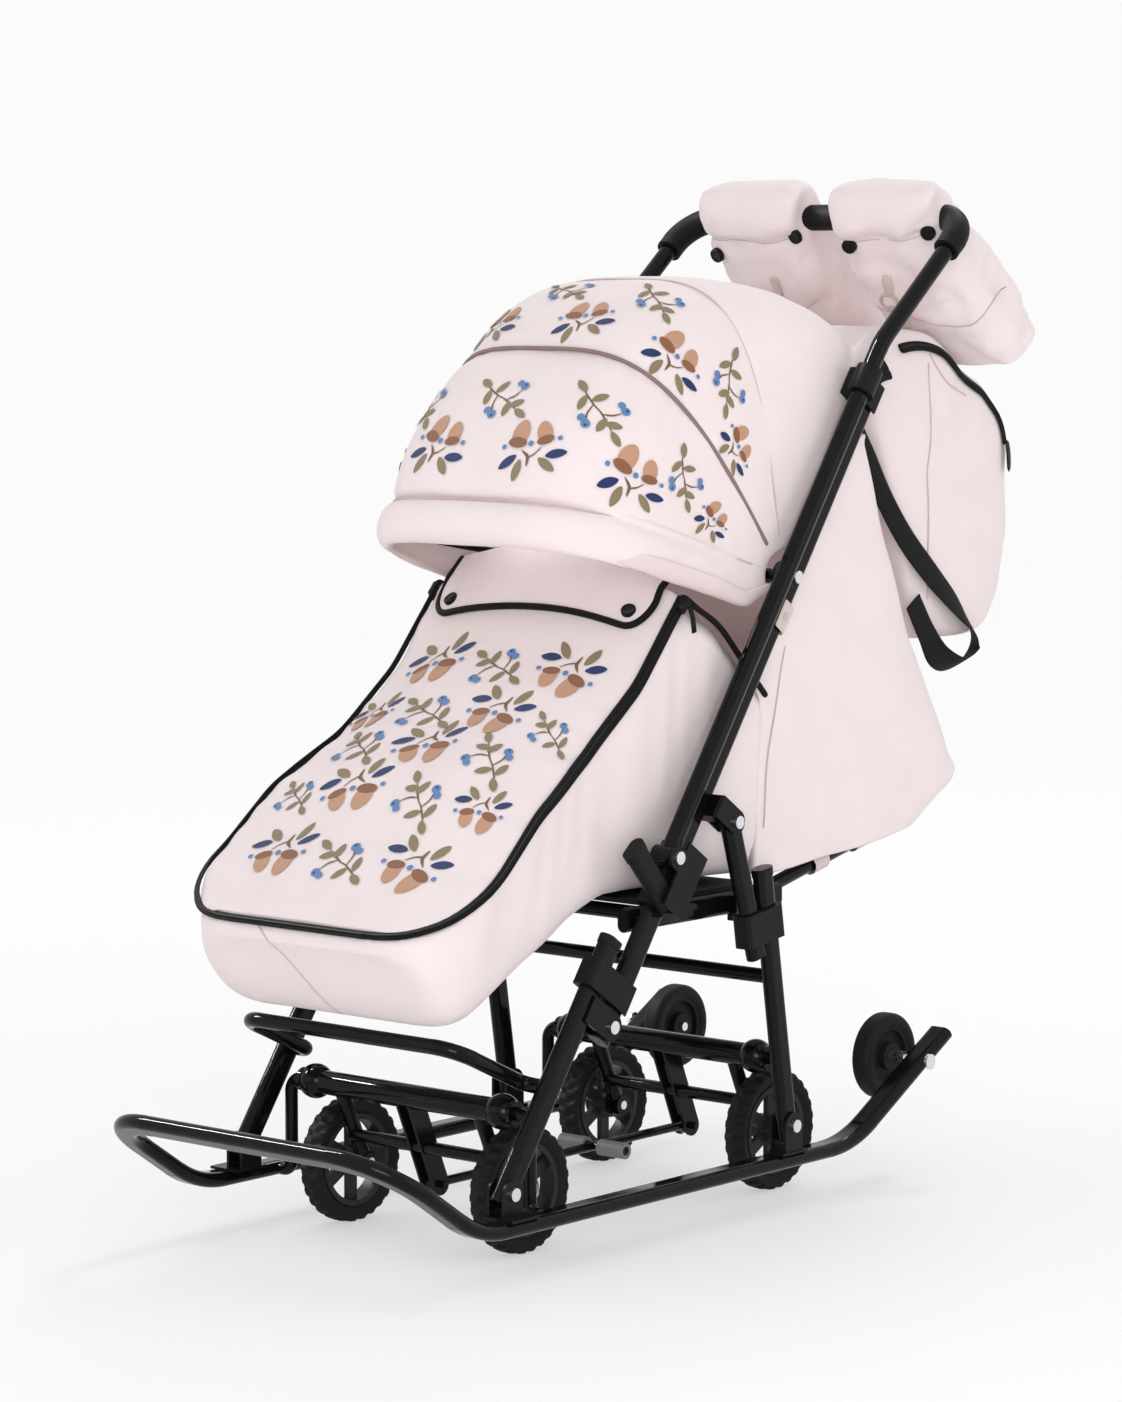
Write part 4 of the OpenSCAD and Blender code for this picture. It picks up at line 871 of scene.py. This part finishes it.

# %% [markdown]
# ## The canopy
# One curved sheet over two bows. Its rim is a padded roll that turns under, a taupe piping lies over the
# middle bow, and a seam follows further back. Behind it the cloth is drawn to the tubes at both sides and
# sags in soft folds between them. A cloth could be draped over the bows, but a formula for each row keeps
# the seams on their bows. It stretches from the frame to the front bow, and it is left on neither of the two
# bodies.

# %% Canopy
HINGE = (165.892, 690.632)
REACH = [(58, 250), (62, 258), (80, 305), (100, 328), (129, 319), (150, 322), (170, 328)]
ROUND = [(58, 0.3), (75, 0.34), (88, 0.43), (100, 0.56), (129, 0.57), (150, 0.5), (170, 0.46)]
SHOULDER = [(58, 88), (66, 72), (75, 46), (88, 20), (100, 0)]
SIDE, STUB = 176.0, 28
RIM_SEAM, PIPING, STITCH = 163.8, 129, 100


def canopy_point(deg, a, wall=0.0, swell=0.0):
    wide, rise = boxy(a, lerp(ROUND, deg))
    shoulder = lerp(SHOULDER, deg) * abs(wide) ** 4
    p = along(HINGE, deg, STUB + (lerp(REACH, deg) + shoulder + swell - wall - STUB) * rise)
    return ((SIDE - wall) * wide, p[0], p[1])


def canopy_swell(deg, a):
    """Puffed panels between the seams, and folds behind the last one."""
    panel = 0.0
    for low, high in ((130.5, RIM_SEAM), (101, 127.5), (62, 99)):
        if low < deg < high:
            panel = 6.0 * math.sin(math.pi * (deg - low) / (high - low)) ** 0.7
    fold = min(1.0, max(0.0, (92 - deg) / 24))
    pull = 1.2 * math.sin(a * 34 + 3 * math.sin(a * 9)) * math.exp(-((deg - 163) / 4) ** 2)
    pull += 0.9 * math.sin(a * 40) * math.exp(-((deg - PIPING) / 4) ** 2)
    ripple = fold * (5.5 * math.sin(a * 7 + deg * 0.12) + 3.0 * math.sin(a * 15 - deg * 0.2)) * math.sin(a)
    return panel * math.sin(a) ** 0.3 + ripple + pull


def canopy_roll(deg, a, out):
    """The roll keeps its thickness towards the hinges, so its angles spread there."""
    rise = boxy(a, lerp(ROUND, deg))[1]
    spread = min(4.6, 328 / (STUB + 300 * rise))
    x, y, z = canopy_point(RIM_SEAM + (deg - RIM_SEAM) * spread, a, 0.4, out * rise ** 0.5)
    side = 0.8 * out * abs(math.cos(a)) ** 3 * min(1.0, max(0.0, (300 * rise - 40) / 70))
    return (x + math.copysign(side, x), y, z)


def canopy_rows():
    turns = math.pi * (0.5 - 0.5 * np.cos(math.pi * np.linspace(0, 1, 91)))
    rim = [(169.4, -22.0), (171.4, -18.0), (172.7, -8.0), (172.6, 4.0), (171.3, 12.0), (169.4, 15.5),
           (167.2, 14.0), (165.2, 9.0), (164.3, 0.0), (RIM_SEAM, -10.0), (163.3, -6.0)]
    rows = [[canopy_roll(deg, a, out) for a in turns] for deg, out in rim]
    degs = [deg for deg, _ in rim]
    for deg in np.linspace(162.6, 60.0, 74):
        piped = 3.5 * math.exp(-((deg - PIPING) / 1.3) ** 2)
        sewn = 2.5 * math.exp(-((deg - STITCH) / 1.1) ** 2)
        rows.append([canopy_point(deg, a, 0.4, canopy_swell(deg, a) - piped - sewn) for a in turns])
        degs.append(deg)
    last = np.array(rows[-1])
    bump = np.array([max(math.exp(-((a - 0.52) / 0.26) ** 2), math.exp(-((math.pi - a - 0.52) / 0.26) ** 2))
                     for a in turns])
    fold = ((0.3, 0.45), (0.65, 0.8), (1.0, 1.0), (1.04, 0.86), (0.7, 0.5), (0.4, 0.1))
    for k, (dy, dz) in enumerate(fold, 1):
        move = np.zeros_like(last)
        move[:, 1] = 30 * dy * bump + 10 * dy
        move[:, 2] = 44 * dz * bump - 3 * k
        rows.append(last + move)
        degs.append(60.0 - k)
    return np.array(rows), degs


def canopy_piece():
    grid, degs = canopy_rows()
    grid = grid + grid_normals(grid) * lumps(grid, 60.0, 2.2, 7.7)[..., None]
    sewer = Sewer()
    sewer.slab(grid, 5.0, 0, 1)
    fine = math.pi * (0.5 - 0.5 * np.cos(math.pi * np.linspace(0.03, 0.97, 120)))
    taupe = np.array([canopy_point(PIPING, a, 0.4, 0.4) for a in fine])
    sewer.tube(taupe, 2.6, 2, 8)
    for deg, out in ((STITCH, -1.6), (RIM_SEAM + 0.1, -1.4)):
        sewer.tube(np.array([canopy_point(deg, a, 0.4, out) for a in fine]), 1.1, 3, 6)
    count = 0
    for k, (deg, swing) in enumerate([(147.0, 4.6), (114.8, 3.6)]):
        for col in range(-6, 7):
            x = (col + (0.5 if k else 0.0)) * 62
            if abs(x) > (330, 285)[k]:
                continue
            at = deg + (swing if col % 2 else -swing) * (1.0 if abs(x) < 230 else 0.3)
            i = float(np.interp(-at, [-d for d in degs], np.arange(len(degs))))
            shape, big = (acorn_sprig(), 1.0) if col % 2 else (berry_twig(), 1.06)
            big = big * (1.0 if k == 0 else 0.92) * min(1.0, (500 - abs(x)) / 290)
            print_on(sewer, grid, (i, x), 165 + (29 * col) % 30 - 0.06 * x, big, shape, 4)
            count += 1
    print("motifs on the canopy", count)
    mats = [CLOTH, LINING, TAUPE, SEAM] + PRINT
    return sewer.make("canopy_cloth", None, mats, 1, ["canopy_fabric"])


canopy = canopy_piece()
row(250, 880)
row(-160, 740)
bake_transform(canopy)

# %% [markdown]
# ## The back shell
# Side panels run from the upper tubes back to the rear edge, and a back panel closes them. The panels could
# be cut flat and sewn; one squarish sheet with a hem that rises to the rear gives the same form without
# gaps. When the frame folds, the cloth crumples against the tubes; here the sheet only moves with the upper
# frame.

# %% Back shell
KNEE = (-148.0, 239.0)
LEAN = 55.2
BEHIND = (0.0, math.sin(math.radians(LEAN)), -math.cos(math.radians(LEAN)))
SHELL_LOW, SHELL_HIGH = 372, 840
BACKLINE = [(SHELL_LOW, 462), (392, 494), (418, 538), (440, 549), (533, 492), (607, 446), (653, 427),
            (729, 388), (798, 350), (SHELL_HIGH, 325)]


def shell_point(z, a, wall=0.0):
    wide, deep = boxy(a, 0.22)
    y0 = max(KNEE[0] + (z - KNEE[1]) / math.tan(math.radians(LEAN)) + 26, REAR - 10)
    y1 = max(lerp(BACKLINE, z), y0 + 40) - wall
    y = y0 + (y1 - y0) * deep
    under = 10 * math.exp(-(max(0.0, y - REAR + 6) / 12) ** 2)
    hem = 0.1 * (y - 250) * min(1.0, max(0.0, (470 - z) / 90))
    return ((172 - wall - under) * wide, y, z + hem)


def shell_piece():
    turns = math.pi * (0.5 - 0.5 * np.cos(math.pi * np.linspace(0, 1, 81)))
    heights = np.linspace(SHELL_HIGH, SHELL_LOW, 60)
    grid = np.array([[shell_point(z, a, 2.4) for a in turns] for z in heights])
    pull = np.array([[1.8 * math.sin(p[2] / 17 + p[1] / 29) * math.exp(-min(a, math.pi - a) / 0.35)
                      for p, a in zip(line, turns)] for line in grid])
    free = np.clip((grid[..., 1] - REAR - 6) / 30, 0, 1)
    grid = grid + grid_normals(grid) * ((lumps(grid, 80.0, 4.0, 1.3) + pull) * free)[..., None]
    sewer = Sewer()
    sewer.slab(grid, 4.0, 0, 1)
    tree = sewer.tree()
    for side in (-1, 1):
        seam = ((184, 614), (168, 552), (156, 484), (150, 415))
        line = smooth_line([(side * 400, y, z) for y, z in seam], 40)
        sewer.tube(drop(tree, line, (-side, 0, 0), 0.3), 1.1, 2, 6)
    mats = [CLOTH, LINING, SEAM]
    return sewer.make("back_shell_cloth", "upper_frame", mats, 1, ["back_shell"])


shell = shell_piece()
row(*KNEE)
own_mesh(shell)

# %% [markdown]
# ## The bag
# A soft bag hangs behind the seat. It is a loft of closed rings across the part: a side-view outline that
# is full in the middle and drawn in to a seam at both sides, with a sagging lower rear. A black zip follows
# the top edge of each side and ends in a flat pull. Rings keep the bag closed, and soft noise makes the
# slack of an empty bag.

# %% Bag
BAG = [(392, 934), (430, 950), (480, 954), (525, 944), (560, 919), (594, 902), (624, 886), (653, 856),
       (669, 812), (672, 742), (667, 690), (652, 640), (626, 607), (580, 597), (520, 597), (488, 606),
       (475, 640), (455, 720), (425, 800), (396, 870)]
BAG_ROWS = [(-131.3, 0.002), (-131.2, 0.1), (-130.5, 0.3), (-129, 0.6), (-126, 0.83), (-122, 0.94),
            (-117, 0.985), (-108, 1.0), (-80, 1.006), (-40, 1.012), (0, 1.014)]
PLEAT = [(503, 926), (517, 908), (537, 890), (575, 876)]
BAG_SEAM = [(500, 916), (498, 840), (496, 740), (500, 643)]


def bag_outline():
    closed = smooth_line(BAG[-2:] + BAG + BAG[:3], 24 * 5 + 1)
    return closed[10:-11]


def bag_piece():
    line = bag_outline()
    middle = line.mean(axis=0)
    rows = []
    for x, share in BAG_ROWS + [(-x, share) for x, share in BAG_ROWS[-2::-1]]:
        sag = [(p - middle) * share + middle for p in line]
        rows.append([(x, p[0], p[1]) for p in sag])
    grid = np.array(rows)
    grid = grid + grid_normals(grid) * lumps(grid, 48.0, 4.2, 2.2)[..., None]
    sewer = Sewer()
    sewer.grid(grid, 0, ring=True)
    tree = sewer.tree()
    for side in (1, -1):
        ring = [(p - middle) * 0.885 + middle for p in np.array(BAG[:10], float)]
        top = drop(tree, smooth_line([(side * 400, p[0], p[1]) for p in ring], 70), (-side, 0, 0), 0.5)
        out = (top - [0, *middle]) / 260
        out[:, 0] = side
        out = unit(out)
        sewer.tube(top[8:-9] + out[8:-9], 6.8, 1, 10, flat=1.8, up=out[8:-9])
        sewer.tube(top[8:-9] + out[8:-9] * 2.6, 1.7, 2, 6, up=out[8:-9])
        end = top[-10] + out[-10] * 4
        pull = np.array([end + [0, -1, 6], end + [side * 2, 1, -8], end + [side * 2, 2, -34]])
        sewer.tube(pull, 7.2, 2, 12, flat=1.6, up=(side, 0.3, 0))
        for line_of, steps in ((PLEAT, 30), (BAG_SEAM, 40)):
            path = smooth_line([(side * 400, y, z) for y, z in line_of], steps)
            sewer.tube(drop(tree, path, (-side, 0, 0), 0.3), 1.2, 3, 6)
    return sewer.make("bag_cloth", "upper_frame", [CLOTH, BINDING, PLASTIC, SEAM], 1, ["bag"])


bag = bag_piece()
row(*KNEE)
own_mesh(bag)

# %% [markdown]
# ### Bag straps
# Flat webbing, 30 mm wide. Two short straps hang the bag from the tubes. The long carrying strap hangs down
# one side as a loop, and turns over at its lowest place. Each is a flat tube along a given line, because
# the remesh of a simulation would erase webbing this thin.

# %% Straps
HANGER = [(168, 268, 842), (160, 300, 858), (140, 352, 886), (127, 400, 908), (124, 440, 914)]
CARRY = [(128, 340, 866), (130, 378, 812), (132, 410, 762), (134, 449, 715), (135, 498, 672), (134, 548, 634),
         (132, 584, 603), (130, 588, 580), (130, 555, 566), (132, 517, 577), (133, 491, 605), (132, 465, 644)]
CARRY_WAYS = [(1, 0, 0)] * 4 + [(1, 0, 0.1), (0.9, 0.2, 0.3), (0.6, 0.7, 0.3), (0.4, 0.6, -0.6),
                                (0.5, 0.1, -0.8), (0.8, -0.3, -0.3), (1, -0.1, 0), (1, 0, 0)]


def band(sewer, points, ups, wide=15.0, thick=1.2, mat=0, count=60):
    """A flat strap along a rounded line; ups are the directions its flat side faces."""
    line = smooth_line(points, count)
    ups = unit(smooth_line(ups, count))
    sewer.tube(line, wide, mat, 12, flat=thick, up=ups)


def strap_piece():
    sewer = Sewer()
    for side in (1, -1):
        band(sewer, [(side * x, y, z) for x, y, z in HANGER], [(side, 0, 0.2)] * len(HANGER))
    band(sewer, CARRY, CARRY_WAYS, count=120)
    return sewer.make("bag_strap_webbing", "upper_frame", [WEBBING], 0, ["bag_straps"])


straps = strap_piece()
row(*KNEE)
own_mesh(straps)

# %% [markdown]
# ## The hand muffs
# Each muff is a quilted tube that wraps the grip and opens towards the pusher. It is lofted from rings
# along its own axis, with a rolled nose over the bar, a crease where the snaps draw the two panels
# together, a wider mouth and a lining inside. Rings give one closed skin, which lumps and gathers can then
# push about. Snaps, tabs with rings and the cuff seam lie on the front panel.

# %% Muffs
BAR = np.array([474.2, 1081.4])
DOWN = np.array([math.sqrt(0.5), -math.sqrt(0.5)])
UPWARD = np.array([math.sqrt(0.5), math.sqrt(0.5)])
MUFF_SIDES, MUFF_INSIDE = 72, 14
SNAPS = {1: ((50, 6), (158, -2)), -1: ((-147, 17), (-32, 2))}
MUFF_TAB = {1: ((87, 44), (76, 76)), -1: ((-76, 46), (-85, 78))}
CUFF = {1: ((50, 92), (82, 105), (155, 127), (196, 112)),
        -1: ((-40, 92), (-95, 112), (-150, 118), (-196, 100))}


def muff_place(x, t, n):
    p = BAR + DOWN * t + UPWARD * n
    return (x, p[0], p[1])


def muff_half(t):
    """Half the height of the muff along its axis, with a rounded nose and a crease at the snaps."""
    high = lerp([(-42, 38), (0, 42), (60, 50), (130, 52), (176, 45), (205, 36)], t)
    if t < -14:
        high *= math.sqrt(max(0.0, 1 - ((-14 - t) / 28) ** 2)) * 0.98 + 0.02
    return high - 9 * math.exp(-((t - 4) / 9) ** 2)


def muff_ring(t, side, wall, turns):
    inner, outer = 22 + wall, 167 + 18 * min(1.0, max(0.0, (t - 20) / 150)) ** 1.2 - wall
    nose = 0.06 * (muff_half(t) < 20)
    middle, wide = (inner + outer) / 2, (outer - inner) / 2 * (1 - nose)
    high = max(muff_half(t) - wall, 0.6)
    out = []
    for a in turns:
        c, s = math.cos(a), math.sin(a)
        x = middle + wide * math.copysign(abs(c) ** 0.5, c)
        out.append(muff_place(side * x, t, high * math.copysign(abs(s) ** 0.72, s)))
    return out


def muff_piece(side, name, node):
    turns = np.linspace(0, 2 * math.pi, MUFF_SIDES, endpoint=False)
    turns = turns if side < 0 else turns[::-1]
    outer_t = list(-14 - 28 * np.cos(np.linspace(0.06, math.pi / 2, 9))) + list(np.linspace(-10, 205, 44))
    outer = np.array([muff_ring(t, side, 0.0, turns) for t in outer_t])
    soft = lumps(outer, 38.0, 8.0, 4.0 + side) + lumps(outer, 15.0, 2.8, 9.0 + side)
    along_t = np.array(outer_t)[:, None]
    gather = np.sin(outer[..., 0] / 4.3 + 2.2 * np.sin(outer[..., 0] / 15) + 0.05 * along_t)
    gather = gather * 3.4 * np.exp(-((along_t - 4) / 17) ** 2)
    end = np.exp(-((np.abs(outer[..., 0]) - 172) / 22) ** 2) * np.exp(-((along_t - 2) / 30) ** 2)
    gather = gather + 3.0 * end * np.sin(8 * np.arctan2(along_t - 2, 26.0) + 1.5)
    fade = np.clip((along_t + 42) / 20, 0, 1)
    outer = outer + grid_normals(outer) * (soft * fade + gather)[..., None]
    lip = np.array([muff_ring(t, side, w, turns) for t, w in ((208, 2.5), (208, 6.5), (204, 9.5))])
    inside = np.array([muff_ring(t, side, 10.0, turns) for t in np.linspace(196, 40, MUFF_INSIDE)])
    sewer = Sewer()
    start = sewer.grid(np.concatenate([outer, lip]), 0, ring=True)
    sewer.faces.append([start + k for k in range(MUFF_SIDES)])
    sewer.mats.append(0)
    start = sewer.grid(np.concatenate([lip[-1:], inside]), 1, ring=True)
    sewer.faces.append([start + MUFF_INSIDE * MUFF_SIDES + k for k in range(MUFF_SIDES - 1, -1, -1)])
    sewer.mats.append(1)
    tree = sewer.tree()
    way = np.array([0.0, *UPWARD])

    def spot(x, t, lift=0.3):
        return drop(tree, [muff_place(x, t, 0)], way, lift)[0]

    for x, t in SNAPS[side]:
        sewer.disc(spot(x, t, 2.5), -way + [0.15 * side, -0.2, 0.25], 9.0, 5.5, 2, 24, 0.15)
    top, foot = np.array(MUFF_TAB[side])
    ends = np.array([spot(x, t, 1.4) for x, t in np.linspace(top, foot, 8)])
    sewer.tube(ends, 6.0, 3, 10, flat=1.1, up=-way)
    ring = ends[-1] - way * 2.0
    across = unit(np.cross(way, ends[-1] - ends[0]))
    down = unit(ends[-1] - ends[0])
    sewer.tube([ring + 11 * (math.cos(a) * across + math.sin(a) * down) + down * 8
                for a in np.linspace(0, 2 * math.pi, 28, endpoint=False)], 1.9, 4, 8, up=-way, closed=True)
    hang = np.array([spot(x, t, 2.0) for x, t in np.linspace(foot + [0, 14], foot + [0, 52], 8)])
    sewer.tube(hang, 7.5, 3, 10, flat=1.2, up=-way)
    seam = smooth_line([muff_place(x, t, 0) for x, t in CUFF[side]], 40)
    sewer.tube(drop(tree, seam, way, 0.3), 1.2, 5, 6)
    crease = smooth_line([muff_place(side * x, 4, 0) for x in (28, 70, 120, 164)], 40)
    sewer.tube(drop(tree, crease, way, 0.2), 1.0, 5, 6)
    return sewer.make(name, "handle", [CLOTH, LINING, PLASTIC, TAB, RING, SEAM], 1, [node])


muffs = [muff_piece(side, "muff_cloth_" + name, "muff_" + name)
         for side, name in ((1, "right"), (-1, "left"))]

# %% [markdown]
# ## Tyres
# Small air tyres with two staggered rows of lugs. Each is a turned profile whose tread radius goes up and
# down round the wheel, measured from the tyre it stands for. Lugs could be copied one by one; a wave in the
# radius makes the tyre one clean skin.

# %% Tyres
TREAD = [(-0.62, 0.0, 0), (-0.8, 0.2, 0), (-0.97, 0.5, 0), (-1.0, 0.66, 0), (-0.93, 0.83, 0.4),
         (-0.8, 0.92, 1), (-0.52, 0.965, 1), (-0.26, 0.985, 1), (-0.08, 0.99, 0.2)]
LUGS, TYRE_SIDES = 28, 224


def tyre_piece(node):
    mesh = nodes[node].data
    place = nodes[node].matrix_world
    pts = np.array([place @ v.co for v in mesh.vertices]) * 1000
    low, high = pts.min(axis=0), pts.max(axis=0)
    middle = (low + high) / 2
    reach = np.hypot(pts[:, 1] - middle[1], pts[:, 2] - middle[2])
    inner, outer, half = reach.min(), (high[2] - low[2]) / 2, (high[0] - low[0]) / 2
    profile = TREAD + [(-x, r, lug) for x, r, lug in TREAD[::-1]]
    rows = []
    for k in range(TYRE_SIDES):
        a = 2 * math.pi * k / TYRE_SIDES
        out = np.array([0, math.cos(a), math.sin(a)])
        line = []
        for x, r, lug in profile:
            phase = LUGS * a + (math.pi if x > 0 else 0.0) + 1.2 * abs(x)
            wave = min(1.0, max(0.0, 0.5 + 1.7 * math.sin(phase)))
            radius = inner + (outer - inner) * (r + 0.01) - lug * 3.4 * (1 - wave)
            line.append(middle + [half * x, MID, 0] + radius * out)
        rows.append(line)
    sewer = Sewer()
    sewer.grid(np.array(rows + rows[:1]), 0)
    return sewer.make("tread_" + node, BODY_OF[node], [RUBBER], 0, [node])


tyres = [tyre_piece(node) for node in sorted(nodes) if node.startswith("tyre")]

# %% [markdown]
# ## Small trim
# A cloth loop with a snap holds the side panel to each upper tube, and two loops hold the cushion to each
# side of the backrest tube. They are bent round the tubes as arcs, because a strap drawn straight would cut
# into them.

# %% Trim
TUBE_OUT = 186


def tube_place(run, x):
    p = along(KNEE, LEAN, run)
    return np.array([x, p[0], p[1]])


def clip_piece():
    sewer = Sewer()
    back = np.array(BEHIND)
    for side in (1, -1):
        rows = []
        for run in np.linspace(486, 520, 7):
            middle = tube_place(run, side * TUBE_OUT)
            arc = [middle + np.array([side * 9.3 * math.copysign(abs(math.cos(a)) ** 0.6, math.cos(a)), 0, 0])
                   + back * 16.2 * math.copysign(abs(math.sin(a)) ** 0.8, math.sin(a))
                   for a in np.radians(np.linspace(-14, 110, 14))]
            rows.append(arc + [middle + np.array([-side * 13, 0, 0]) + back * 24])
        grid = np.array(rows)
        if side < 0:
            grid = grid[::-1]
        sewer.slab(grid, 1.8, 0)
        snap = tube_place(503, side * TUBE_OUT) + np.array([side * 10, 0, 0]) + back * 4
        sewer.disc(snap, (side, 0, 0), 4.5, 2.2, 1, 20)
    return sewer.make("tube_loops", "upper_frame", [TAB, RING], 1, ())


def loop_piece():
    sewer = Sewer()
    tilt = math.radians(BACK_TILT)
    lean = np.array([0, math.cos(tilt), math.sin(tilt)])
    over = np.array([0, -math.sin(tilt), math.cos(tilt)])
    round_tube = [11.5 * (math.cos(a) * np.array([1, 0, 0]) + math.sin(a) * over)
                  for a in np.linspace(0, 2 * math.pi, 20, endpoint=False)]
    for side in (1, -1):
        for run in (110, 190):
            p = along(BACK_PIVOT, BACK_TILT, run)
            middle = np.array([side * 150, p[0], p[1]])
            rings = [[middle + lean * d + step for step in round_tube] for d in (-13, -6, 0, 6, 13)]
            sewer.grid(np.array(rings), 0, ring=True)
    return sewer.make("backrest_loops", "backrest", [TAB], 1, ())


clips = clip_piece()
loops = loop_piece()
